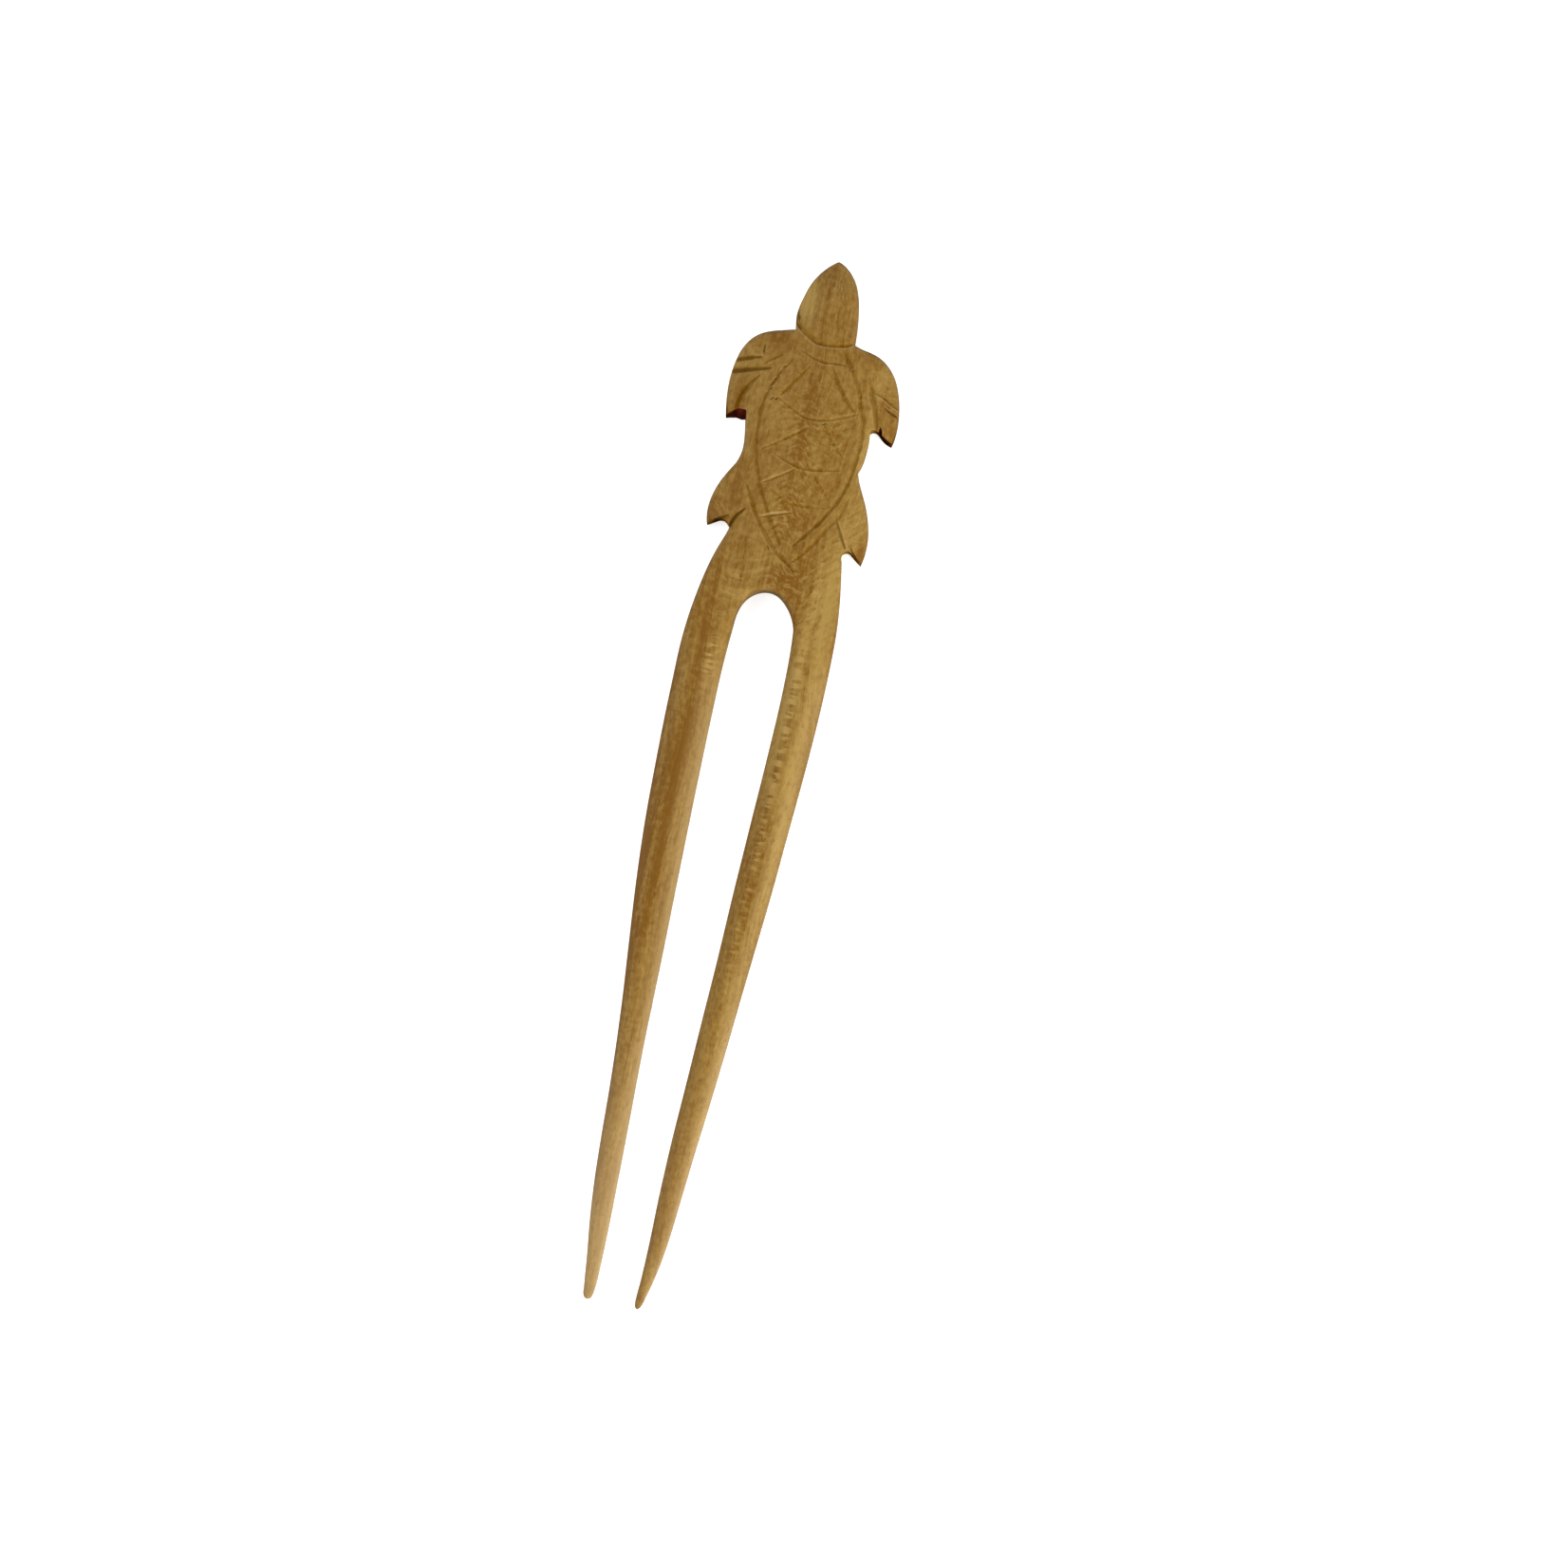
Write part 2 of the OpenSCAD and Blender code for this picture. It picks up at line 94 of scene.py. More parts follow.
# Outline and inner lines of each side, from the ends of the prongs up. Each stretch of a prong is its
# outer and inner edge, and each of the body its outer edge and the line of the flipper's root.
leftSide = {
    "prong": [
        ([(-4.55, 0), (-5, 0.1), (-5.35, 0.6), (-5.55, 2), (-5.8, 4)],
         [(-4.55, 0), (-4.1, 0.15), (-3.75, 0.8), (-3.57, 2), (-3.5, 4)]),
        ([(-5.8, 4), (-6.25, 8), (-6.8, 12), (-7.6, 20), (-8.05, 28), (-8.4, 36), (-9.35, 50),
          (-10.3, 60), (-11.25, 70), (-11.95, 80), (-12.35, 92), (-12.5, 104), (-12.35, 113),
          (-11.97, 117)],
         [(-3.5, 4), (-3.48, 10), (-3.65, 20), (-3.88, 30), (-4.2, 42), (-4.35, 60), (-4.55, 75),
          (-4.7, 90), (-4.75, 101), (-4.65, 112), (-4.42, 117)]),
    ],
    "archOuter": [(-11.97, 117), (-11.55, 120), (-10.85, 124), (-9.85, 128), (-9, 130.4)],
    "archInner": [(-4.42, 117), (-4.2, 119), (-3.75, 120.4), (-3, 121.6), (-2, 122.5),
                  (-0.8, 123.1), (0.4, 123.3)],
    "body": [
        ([(-9, 130.4), (-8.65, 131.4), (-8.4, 132.3)], [(-7.3, 130.4), (-7.4, 132.3)]),
        ([(-8.4, 132.3), (-8.95, 132.95), (-9.7, 133.45), (-10.4, 133.4), (-11.3, 133),
          (-12.45, 132.4)],
         [(-7.4, 132.3), (-8, 134.7), (-8.7, 137)]),
        ([(-12.45, 132.4), (-12.7, 133.5), (-12.75, 134.6), (-12.6, 136.2), (-12.3, 137.6),
          (-11.8, 139.1), (-11.1, 140.6), (-10.3, 142), (-9.6, 143.2), (-9.25, 144.2)],
         [(-8.7, 137), (-8.7, 140.5), (-8.2, 144.2)]),
        ([(-9.25, 144.2), (-9.05, 145.3), (-9.05, 146.6), (-9.25, 148.2), (-9.5, 149.8),
          (-9.75, 151.4)],
         [(-8.2, 144.2), (-8.3, 147.5), (-8.8, 151.2)]),
        ([(-9.75, 151.4), (-9.9, 151.95), (-10.5, 152), (-11.4, 152), (-12.2, 151.45),
          (-13.2, 150.95)],
         [(-8.8, 151.2), (-9.3, 153.4), (-9.6, 155.6)]),
        ([(-13.2, 150.95), (-13.45, 152.6), (-13.65, 154.5), (-13.72, 156.5), (-13.6, 158.5),
          (-13.3, 160.3), (-12.9, 161.8), (-12.15, 163.3), (-11.2, 164.5), (-10, 165.4),
          (-8.3, 166.1), (-6.3, 166.6), (-4.55, 167)],
         [(-9.6, 155.6), (-9.6, 158.6), (-8.4, 161.6), (-6.3, 164.2), (-3.8, 166)]),
        ([(-4.55, 167), (-4.72, 168), (-4.88, 169), (-4.95, 170), (-4.85, 171), (-4.4, 173),
          (-3.8, 174.9), (-3.3, 176), (-2.7, 177), (-1.95, 178), (-1.05, 179), (0.1, 180)],
         [(-3.8, 166), (-3.9, 168.5), (-3.6, 171.5), (-2.6, 175.2), (-1.3, 177.8), (0.1, 180)]),
    ],
}
rightSide = {
    "prong": [
        ([(4.1, 0), (4.5, 0.35), (4.85, 1.1), (5.15, 2.3), (5.57, 4)],
         [(4.1, 0), (3.75, 0.2), (3.52, 0.9), (3.5, 2.2), (3.6, 4)]),
        ([(5.57, 4), (6.35, 8), (6.87, 12), (7.52, 20), (8.13, 28), (8.83, 36), (9.6, 46), (10.2, 55),
          (10.85, 64), (11.5, 73), (12.1, 84), (12.75, 96), (13.05, 105), (13.1, 112), (13, 117)],
         [(3.6, 4), (3.73, 10), (3.68, 20), (3.8, 29), (4.15, 39), (4.5, 50), (4.85, 60), (5.1, 71),
          (5.5, 84), (5.9, 96), (6.1, 107), (6, 113), (5.75, 117)]),
    ],
    "archOuter": [(13, 117), (12.8, 120), (12.35, 124), (11.7, 128), (11.25, 130.4)],
    "archInner": [(5.75, 117), (5.4, 118.7), (4.8, 120), (3.9, 121.3), (2.9, 122.3), (1.7, 123.05),
                  (0.4, 123.3)],
    "body": [
        ([(11.25, 130.4), (11.05, 131), (11, 131.6)], [(10, 130.4), (10, 131.8)]),
        ([(11, 131.6), (11.15, 132.15), (11.6, 132.45), (12.15, 132.45), (12.8, 132.05),
          (14.55, 130.95)],
         [(10, 131.8), (10.2, 134.3), (10.9, 136.4)]),
        ([(14.55, 130.95), (14.8, 132.3), (14.87, 134), (14.75, 135.5), (14.4, 137.2), (13.9, 138.8),
          (13.3, 140.3), (12.6, 141.7), (11.9, 143), (11.3, 144.2), (10.85, 145.4)],
         [(10.9, 136.4), (10.9, 140.5), (9.9, 145.2)]),
        ([(10.85, 145.4), (10.75, 146), (11.05, 147), (11.35, 148.2), (11.5, 149.6), (11.5, 151),
          (11.35, 152.3)],
         [(9.9, 145.2), (10.2, 149), (10.3, 152.6)]),
        ([(11.35, 152.3), (11.4, 152.9), (11.8, 153.15), (12.5, 153.1), (13.1, 152.8), (14.3, 152.2),
          (15.4, 151.85)],
         [(10.3, 152.6), (10.6, 154.8), (11.2, 156.6)]),
        ([(15.4, 151.85), (15.65, 153), (15.72, 154.2), (15.6, 156), (15.35, 157.6), (15, 159.1),
          (14.5, 160.6), (13.8, 162.1), (12.8, 163.5), (11.6, 164.6), (10.2, 165.4), (8.5, 165.85),
          (7, 166.05), (5.75, 166.4)],
         [(11.2, 156.6), (11.1, 159.6), (9.5, 162.6), (7.2, 164.6), (4.9, 165.6)]),
        ([(5.75, 166.4), (5.74, 167.6), (5.65, 169), (5.5, 170.4), (5.25, 172), (4.9, 173.7),
          (4.4, 175.3), (3.8, 176.7), (3, 177.9), (2, 178.95), (1, 179.65), (0.1, 180)],
         [(4.9, 165.6), (4.8, 168.5), (4.5, 171.5), (3.4, 175.2), (1.8, 178), (0.1, 180)]),
    ],
}
# Rows of these stretches on both sides, and v on the spine where the body's start and the last ends
prongRows = [16, 125]
bodyRows = [7, 18, 34, 20, 18, 60, 50]
spineStops = [130.4, 132, 136.6, 144.2, 151.2, 155.2, 166, 180]
spineLine = [(0.85, 130.4), (0.85, 166), (0.7, 172), (0.42, 176.5), (0.1, 180)]

wood = {
    "prongColumns": 27,  # points across a prong
    "flipperColumns": 20,  # points from the outer edge to a flipper's root
    "shellColumns": 18,  # points from there to the spine
    "archRows": 24,  # rows along the outer edge beside the arch
    "archTurn": 0.58,  # share of the arch's inner line that those rows run to
    "wallRows": 4,  # points down an edge
    "weldGap": 0.0008,  # mm between points that become one
    "widthOver": (2.5, 117),  # v between which a prong's width is read
    "prongRound": 2.6,  # section of a prong: 2 is an ellipse, more is squarer
    "prongDepth": 0.48,  # depth of its rounding, as a share of its thickness
    "turtleOver": (104, 121),  # v over which a prong's section becomes the turtle's
    "topOver": (115, 119),  # the same for the height of the top
    "edgeRadius": 0.9,  # rounding of the turtle's edges
    "notchRadius": 0.25,  # the same at the four notches
    "notchSpread": 3.2,  # square of how far round a notch that holds, in mm
    "slantReach": (1.6, 1.2),  # mm along u and v over which a notch's wall slants
    "lowRound": 0.45,  # rounding of the turtle's lower edges, as a share of its upper ones
    "tipLift": 1.4,  # height of the prongs' ends
    "liftFrom": 52.65,  # where the prongs start to bend up
    "facetStart": 0.1,  # place of the soft ridge on a prong, as a share of its half width
    "facetShift": 0.3,  # how much further right it lies at the top of the left prong
    "shiftOver": (70, 92),  # v over which it goes there
    "facetSoft": 0.05,  # how softly the wood turns there
    "facetSlope": 0.3,  # fall of the face to the right of that ridge
    "facetComes": (3, 16),  # v over which that face starts
    "facetGoes": (100, 124),  # and ends
    "waviness": 0.03,  # unevenness that the hand leaves
    "waves": [(0.8, 0.23, 0), (-0.5, 0.31, 1.3)],  # radians per mm of u and of v, and at their start
}
prongThickness = [(0, 2), (2.3, 2), (8, 2.6), (12, 2.95), (20, 3.6), (30, 4.2), (42, 4.8),
                  (50, 5.15), (60, 5.5), (70, 5.85), (80, 6.05), (95, 6.18), (117, 6.18)]
# Top of the turtle: v, height on the spine, half width, fall from the spine to there. Each value is
# the mean of those at these steps along v.
crown = [(117, 6.18, 14.8, 0), (133, 6.5, 14.8, 1.54), (146.6, 6.95, 14.8, 2.2), (155.1, 6.95, 14.8, 2.2),
         (166, 6.5, 14.8, 2.2), (168.3, 6.35, 5.6, 1.7), (173.5, 6.3, 5.6, 1.7), (180, 4.4, 5.6, 0)]
crownSteps = (-2, -1, 0, 1, 2)
# The four notches: u, v, and how far along v their walls slant from the top down
notches = [(-10.7, 152.1, -0.75), (12.3, 153.1, 0.6), (-10.3, 133.3, 0.25), (12.5, 132.3, 0.25)]
# Tips of the flippers, carved thinner: u, v, reach, drop
thinTips = [(-13.4, 150.9, 1.9, 2), (15.4, 151.7, 2.2, 1.3), (-12.7, 132.3, 2, 2),
            (14.7, 131, 2.1, 1.3)]


def chain(parts):  # stretches one after another, without their shared places
    return np.concatenate([parts[0]] + [p[1:] for p in parts[1:]])


def between(a, b, share):  # grid of places: row by row from line a to line b
    return a[:, None] + (b - a)[:, None] * share[None, :, None]


def lineOf(stretches, rows, k):  # line k of the stretches, from the first to the last
    return chain([smoothLine(stretch[k], n) for stretch, n in zip(stretches, rows)])


# Three grids for one side: the prong from its outer to its inner edge, the fan of rows round the
# arch, and the body from its outer edge over the flipper's root to the spine
def sideGrids(side):
    round2 = (1 - np.cos(np.pi * np.linspace(0, 1, wood["prongColumns"]))) / 2
    round1 = 1 - np.cos(np.pi / 2 * np.linspace(0, 1, wood["flipperColumns"]))
    even = np.linspace(0, 1, wood["shellColumns"])
    outer, inner = (lineOf(side["prong"], prongRows, k) for k in (0, 1))
    prong = between(outer, inner, round2)
    spine = np.array(spineLine)
    edge, root = (lineOf(side["body"], bodyRows, k) for k in (0, 1))
    middleV = chain([np.linspace(*ends) for ends in zip(spineStops, spineStops[1:], bodyRows)])
    middle = np.stack([np.interp(middleV, spine[:, 1], spine[:, 0]), middleV], -1)
    body = np.concatenate([between(edge, root, round1), between(root, middle, even)[:, 1:]], axis=1)
    outer = chain([smoothLine(side["archOuter"], wood["archRows"]), body[0]])
    share = wood["archTurn"]
    turn = chain([np.linspace(0, share, wood["archRows"]), np.linspace(share, 1, body.shape[1])])
    fan = between(outer, smoothLine(side["archInner"], turn), round2)
    return {"prong": prong, "fan": fan, "body": body}


grids = [sideGrids(leftSide), sideGrids(rightSide)]
archRows = wood["archRows"]
edgeLines = [line for g in grids for line in (
    g["prong"][:, 0], g["prong"][:, -1], g["fan"][:archRows, 0], g["fan"][:, -1], g["body"][:, 0])]
edgeStart = np.concatenate([line[:-1] for line in edgeLines])
edgeEnd = np.concatenate([line[1:] for line in edgeLines])


# Shortest way from each place to the outline: the least of those to the nearest point of each of its
# pieces, for about 1500 places at a time
def edgeDistance(u, v):
    along = edgeEnd - edgeStart
    length2 = np.maximum((along**2).sum(1), 1e-12)
    spots = np.stack([np.ravel(u), np.ravel(v)], -1)
    out = []
    for part in np.array_split(spots, max(1, len(spots) // 1500)):
        t = np.clip(((part[:, None] - edgeStart) * along).sum(2) / length2, 0, 1)
        off = part[:, None] - edgeStart - t[:, :, None] * along
        out.append((off**2).sum(2).min(1))
    return np.sqrt(np.concatenate(out)).reshape(np.shape(u))


# Middle and half width of the prong that a place is on. The first two rows of its round end don't
# count.
def prongAcross(u, v):
    low = np.clip(v, *wood["widthOver"])
    mids, halves = [], []
    for g in grids:
        outer, inner = g["prong"][2:, 0], g["prong"][2:, -1]
        a, b = np.interp(low, outer[:, 1], outer[:, 0]), np.interp(low, inner[:, 1], inner[:, 0])
        mids.append((a + b) / 2)
        halves.append(abs(a - b) / 2)
    isLeft = u < 0
    return np.where(isLeft, mids[0], mids[1]), np.where(isLeft, halves[0], halves[1])


def underside(v):  # the prongs bend up towards their ends
    return wood["tipLift"] * np.clip(1 - v / wood["liftFrom"], 0, 1)**2


def onTurtle(v):  # 0 on the prongs and 1 on the turtle, whose edges are rounded another way
    return plateau(*wood["turtleOver"], v)


def notchBell(u, v):  # 1 at each notch and less round it
    return sum(np.exp(-((u - a)**2 + (v - b)**2) / wood["notchSpread"]) for a, b, slant in notches)


# Height of the top before its edges are rounded. On the prongs it is the underside and the
# thickness, less the fall of the right-hand face; on the turtle the height on the spine less a fall
# that grows with the square of the distance from it, and less a soft bell at each flipper's tip.
def topHeight(u, v):
    thick = np.interp(v, *zip(*prongThickness))
    mid, half = prongAcross(u, v)
    shift = wood["facetShift"] * plateau(*wood["shiftOver"], v) * (u < 0)
    past = (u - mid) / half - wood["facetStart"] - shift
    face = (past + np.sqrt(past**2 + wood["facetSoft"])) / 2 * wood["facetSlope"] * half
    face = face * plateau(*wood["facetComes"], v) * (1 - plateau(*wood["facetGoes"], v))
    prong = underside(v) + thick - face
    table = np.array(crown)
    height, width, fall = (
        sum(np.interp(v + step, table[:, 0], table[:, k]) for step in crownSteps) / len(crownSteps)
        for k in (1, 2, 3))
    turtle = height - fall * np.minimum(1, abs(u - spineLine[0][0]) / width)**2
    for tipU, tipV, reach, drop in thinTips:
        turtle = turtle - drop * np.exp(-((u - tipU)**2 + (v - tipV)**2) / reach**2)
    wave = wood["waviness"] * sum(np.sin(a * u + b * v + c) for a, b, c in wood["waves"]) / 2
    return prong + (turtle - prong) * plateau(*wood["topOver"], v) - wood["waviness"] + wave


# How far in the edges are rounded, and how far down: half the prong's width and thickness there,
# the edge radius on the turtle, less at the notches
def edgeRound(u, v, top):
    half = prongAcross(u, v)[1]
    small = wood["edgeRadius"] + (wood["notchRadius"] - wood["edgeRadius"]) * notchBell(u, v)
    halfThick = wood["prongDepth"] * (top - underside(v))
    return half + (small - half) * onTurtle(v), halfThick + (small - halfThick) * onTurtle(v)


# Height that the rounding takes off: its depth times 1 - (1 - (1 - share)^n)^(1/n), where share is
# the way in from the edge over the rounding's reach
def roundOff(u, v, far, top):
    reach, depth = edgeRound(u, v, top)
    n = wood["prongRound"] + (2 - wood["prongRound"]) * onTurtle(v)
    inner = 1 - np.clip(far / reach, 0, 1)
    return depth * (1 - (1 - inner**n)**(1 / n))


# How far the underside's places lie along v from the top's: the slant of a notch's wall under a bell
def wallSlant(u, v):
    ru, rv = wood["slantReach"]
    return sum(slant * np.exp(-((u - a) / ru)**2 - ((v - b) / rv)**2) for a, b, slant in notches)


def toFrame(u, v, z):  # plan place and height to metres in the frame
    return np.stack([
        middleX + (u - plan["middleU"]) * unit, forkLow.y + v * unit, forkLow.z + z * unit], -1)


def gridQuads(rows, columns, first):  # four corners of each cell of a grid stored row by row
    a = first + np.arange(rows - 1)[:, None] * columns + np.arange(columns - 1)[None, :]
    return np.stack([a, a + 1, a + columns + 1, a + columns], -1).reshape(-1, 4)


# Closed skin: each grid once as top and once as underside, and walls between their edges
def forkSkin():
    points, faces, count = [], [], 0

    def add(block):
        nonlocal count
        rows, columns = block.shape[:2]
        points.append(block.reshape(-1, 3))
        faces.append(gridQuads(rows, columns, count))
        count += rows * columns

    for g in grids:
        for name, grid in g.items():
            u, v = grid[..., 0], grid[..., 1]
            top = topHeight(u, v)
            off = roundOff(u, v, edgeDistance(u, v), top)
            offLow = off * (1 - (1 - wood["lowRound"]) * onTurtle(v))
            high = np.stack([u, v, top - off], -1)
            low = np.stack([u, v + wallSlant(u, v), underside(v) + offLow], -1)
            add(high)
            add(low)
            outer = slice(0, archRows) if name == "fan" else slice(None)
            down = np.linspace(0, 1, wood["wallRows"])
            add(between(high[outer, 0], low[outer, 0], down))
            if name != "body":
                add(between(high[:, -1], low[:, -1], down))
    return np.concatenate(points), np.concatenate(faces)


def meshFrom(name, points, faces):  # with two empty slots, for the smoothed and for the rough wood
    mesh = bpy.data.meshes.new(name)
    mesh.from_pydata(toFrame(*points.T), [], faces)
    for slot in range(2):
        mesh.materials.append(None)
    return mesh


def newObject(name, data):  # in the scene
    made = bpy.data.objects.new(name, data)
    bpy.context.scene.collection.objects.link(made)
    return made


def weld(mesh, gap):  # makes one of the points within gap mm, and turns the faces outward
    box = bmesh.new()
    box.from_mesh(mesh)
    bmesh.ops.remove_doubles(box, verts=box.verts, dist=gap * unit)
    bmesh.ops.recalc_face_normals(box, faces=box.faces)
    box.to_mesh(mesh)
    box.free()


print("stage: the fork's skin")
points, faces = forkSkin()
forkMesh = meshFrom("carvedFork", points, faces.tolist())
weld(forkMesh, wood["weldGap"])
carvedFork = newObject("carvedFork", forkMesh)
print("skin:", len(forkMesh.vertices), "points,", len(forkMesh.polygons), "faces")

# The carved lines

knife = {
    "step": 0.3,  # mm between two sections of a cut
    "points": 9,  # from lip to lip
    "blunt": 1.25,  # how round the bottom of a cut is: 1 is a sharp V, 2 a round trough
    "tremble": 0.16,  # how unevenly the hand presses
    "taper": 2.4,  # mm over which the knife goes in or out
    "over": 0.5,  # mm that the knife stands above the wood
    "burr": 0.035,  # depth of the shallow trough outside a cut's raised lip
    "burrWidth": 0.5,  # mm that the trough reaches out from the cut
    "lipDrop": 0.01,  # mm that the lips lie below the wood
    "leastPress": 0.08,  # share of the pressure that is left at a faded end
    "skips": (0.55, 0.45),  # share where the knife skips, and how far it swings
    "weldGap": 0.0001,
    "tonePeak": 1.3,  # how narrow the painted shade at the core of a cut is
    "lipPast": 0.06,  # mm from a cut's edge to the painted highlight on its lip
    "lipWidth": 0.16,
    "toneReach": 1.6,  # mm beyond which a cut leaves the wood's colour alone
}
plainStroke = {
    "half": 0.3,  # half width, in mm like the depth
    "depth": 0.4,
    "left": 1,  # share by which it is wider to the left of its way
    "right": 1,
    "fadeIn": 1,  # 0 where it starts at full depth
    "fadeOut": 1,
    "dark": 1,  # how dark the painted shade in the cut is
    "paleLeft": 0,  # how bright the painted highlight on its left lip is
    "paleRight": 0,
    "skip": 0,  # mm from skip to skip where the knife jumped
}


def stroke(*points, **own):  # of the knife, through places read off the picture
    return {**plainStroke, **own, "points": points}


carvedLines = [
    # Collar, with the head standing above the neck, and the dark bevel where it meets the head's side
    stroke((-5.2, 170.3), (-4.75, 169.3), (-4.1, 168.4), (-3.1, 167.5), (-2, 166.85), (-1, 166.4),
           (0, 166.2), (1, 166.15), (2, 166.2), (3, 166.35), (4, 166.6), (5, 167), (6.4, 167.6),
           half=0.55, depth=0.36, left=1.2, fadeIn=0, fadeOut=0, dark=0.55, paleRight=0.5),
    stroke((-5.3, 171.4), (-5.15, 170.2), (-4.75, 169.2), (-4.2, 168.4), (-3.4, 167.7),
           half=0.75, depth=1, right=1.2, fadeIn=0, dark=1.2),
    # Neck band and the shell's rims
    stroke((-3.1, 164.4), (-2, 163.9), (-1, 163.55), (0, 163.3), (1, 163.15), (3, 163.3), (5.3, 163.3),
           half=0.34, depth=0.24, dark=0.8, paleLeft=0.2, paleRight=0.4),
    stroke((-4, 162.8), (-4.6, 161.6), (-5.3, 160.6), (-5.9, 159.3), (-6.8, 157.2), (-7.4, 154.7),
           (-7.6, 153), (-7.55, 151.5), (-7.4, 149.6), (-6.95, 146.5), (-6.3, 144), (-5.2, 141),
           (-3.8, 138.2), (-2.4, 135.6), (-0.9, 133.4), (0.5, 131.2), half=0.5, depth=0.36, dark=0.7),
    stroke((3.7, 166.2), (4.5, 165), (5.8, 163.3), (7, 161.3), (8.1, 159.4), (8.7, 157.3), (9.7, 155),
           (10.05, 152.5), (10.1, 150), (9.85, 146.5), (9.3, 143.5), (8.4, 140.7), (7.3, 138.5),
           (5.8, 136.1), (4.2, 133.9), (2.5, 131.6), half=0.55, depth=0.36, dark=0.75, paleRight=0.3),
    stroke((-7.4, 140.5), (-6.5, 138.9), (-5.5, 137), (-3.7, 134.3), (-2, 132.1), (0.1, 130),
           (2.5, 128.4), (3.7, 127.2), half=0.46, depth=0.34, dark=0.55, paleRight=0.4),
    stroke((10.2, 142), (9.8, 140.5), (9.1, 138), (8.2, 136.7), (6.2, 133.4), (4.2, 130.4), (2.5, 128.6),
           half=0.5, depth=0.23, dark=0.35, paleRight=0.2),
    # Edges of the plates across the shell
    stroke((-5.3, 155.9), (-4, 155.1), (-2, 154.1), (0, 153.35), (1, 153.25), (3, 153.45), (6, 154.5),
           (9.2, 156.1), half=0.34, depth=0.15, dark=0.45, paleLeft=0.4, paleRight=0.3),
    stroke((-4.8, 146.9), (-3.4, 146.2), (-1, 145.3), (1, 144.8), (3, 144.9), (5, 145.25), (8.3, 146),
           half=0.32, depth=0.17, dark=0.5, paleRight=0.4, paleLeft=0.1),
    stroke((-3.3, 140.5), (-2, 139.7), (0, 138.85), (2, 138.6), (4, 138.75), (6, 139), (8, 139.8),
           half=0.34, depth=0.13, dark=0.35, paleLeft=0.2),
    # Slanting edges of the plates
    stroke((-0.65, 162.65), (-2.85, 159.25), (-4.95, 156.05), half=0.42, depth=0.22, dark=0.35),
    stroke((2.8, 162.7), (4.8, 159.4), (8.1, 155.8), half=0.46, depth=0.34, dark=1.1, paleLeft=0.2),
    stroke((1.15, 152.1), (-1.8, 149.7), (-6.2, 146.6), half=0.34, depth=0.15, dark=0.35, paleRight=0.4),
    stroke((3.2, 153.3), (5.2, 150.5), (8, 147.7), half=0.5, depth=0.24, skip=1, paleLeft=0.2),
    stroke((0.5, 144.8), (-1.9, 142.95), (-4.9, 141.05), half=0.32, depth=0.17, dark=0.35, paleRight=1.1),
    stroke((3.3, 144.4), (5.2, 142.2), (7.1, 140.2), half=0.45, depth=0.19, dark=0.8, skip=0.8),
    stroke((1.3, 137.2), (-1, 136.35), (-4.1, 135.25), half=0.32, depth=0.26, dark=0.6, paleRight=1.6),
    # Faint double stroke down the middle plate
    stroke((1.15, 162.4), (1.2, 160.5), (1.15, 158.6), half=0.2, depth=0.08, dark=0.9, paleLeft=0.7),
    stroke((1.9, 156.2), (1.8, 155), (1.75, 154.1), half=0.2, depth=0.08, dark=0.8, paleLeft=0.5),
    # Front left flipper
    stroke((-14.6, 160.2), (-13, 160.6), (-11.4, 161.2), (-9.1, 161.8), half=0.5, depth=0.62,
           fadeIn=0, dark=1.1),
    stroke((-14.6, 158.3), (-13, 158.65), (-10.5, 159.4), (-7.2, 160.3), half=0.55, depth=0.68, left=1.2,
           fadeIn=0, dark=1.5),
    stroke((-8.9, 158.8), (-9.5, 158), (-10.35, 156.9), (-11.1, 155.2), (-11.5, 153.6), (-11.65, 152.4),
           (-11.7, 151), half=0.5, depth=0.5, left=1.2, right=1.5, fadeOut=0, dark=1.3),
    stroke((-9.2, 164.2), (-9.05, 162.4), depth=0.28),
    stroke((-5.9, 163), (-6.8, 162.3), (-8, 161.4), (-8.8, 160.5), half=0.34, depth=0.2, dark=0.5),
    # Front right flipper
    stroke((10.1, 160), (12, 159.4), (13.6, 158.6), (16.6, 157.3), half=0.26, depth=0.28,
           fadeOut=0, dark=0.8, paleRight=0.6),
    stroke((12.6, 157.8), (14, 157.1), (15.2, 156.6), (16.8, 155.8), half=0.34, depth=0.5,
           fadeOut=0, paleLeft=0.5),
    stroke((9.2, 162.2), (9.8, 160.7), (10.5, 159.1), (11.3, 157.2), (11.9, 155.2), (12.15, 154.2),
           (12.3, 153.5), half=0.55, depth=0.45, right=1.3, dark=0.6, paleRight=0.5),
    stroke((12.85, 154.4), (12.9, 153.8), (13, 153.2), (13.3, 152.4), depth=1.5, left=1.4,
           fadeOut=0, dark=1.8),
    # Hind flippers: a groove at the root of each, and a bevel above each notch
    stroke((-6.5, 136.3), (-7.2, 135.4), (-7.85, 134.6), (-8.15, 133.9), (-8.5, 132.7), half=0.42,
           depth=0.75, right=1.5, fadeOut=0, dark=1.5),
    stroke((-9, 134.7), (-9.5, 134.3), (-10.3, 133.75), (-11.3, 133.15), depth=0.7, left=3.2,
           fadeOut=0, dark=1.5),
    stroke((8.6, 137.9), (9.25, 136.7), (9.85, 135.6), (10.45, 134.5), (11.05, 133.5), (11.5, 132.8),
           half=0.46, depth=0.48, dark=0.9, paleLeft=0.8, paleRight=0.3),
    stroke((12.1, 133.6), (12.45, 132.95), (12.95, 132.25), (13.7, 131.6), (14.4, 131), half=0.27,
           depth=0.7, right=3, fadeOut=0, dark=1.5),
]
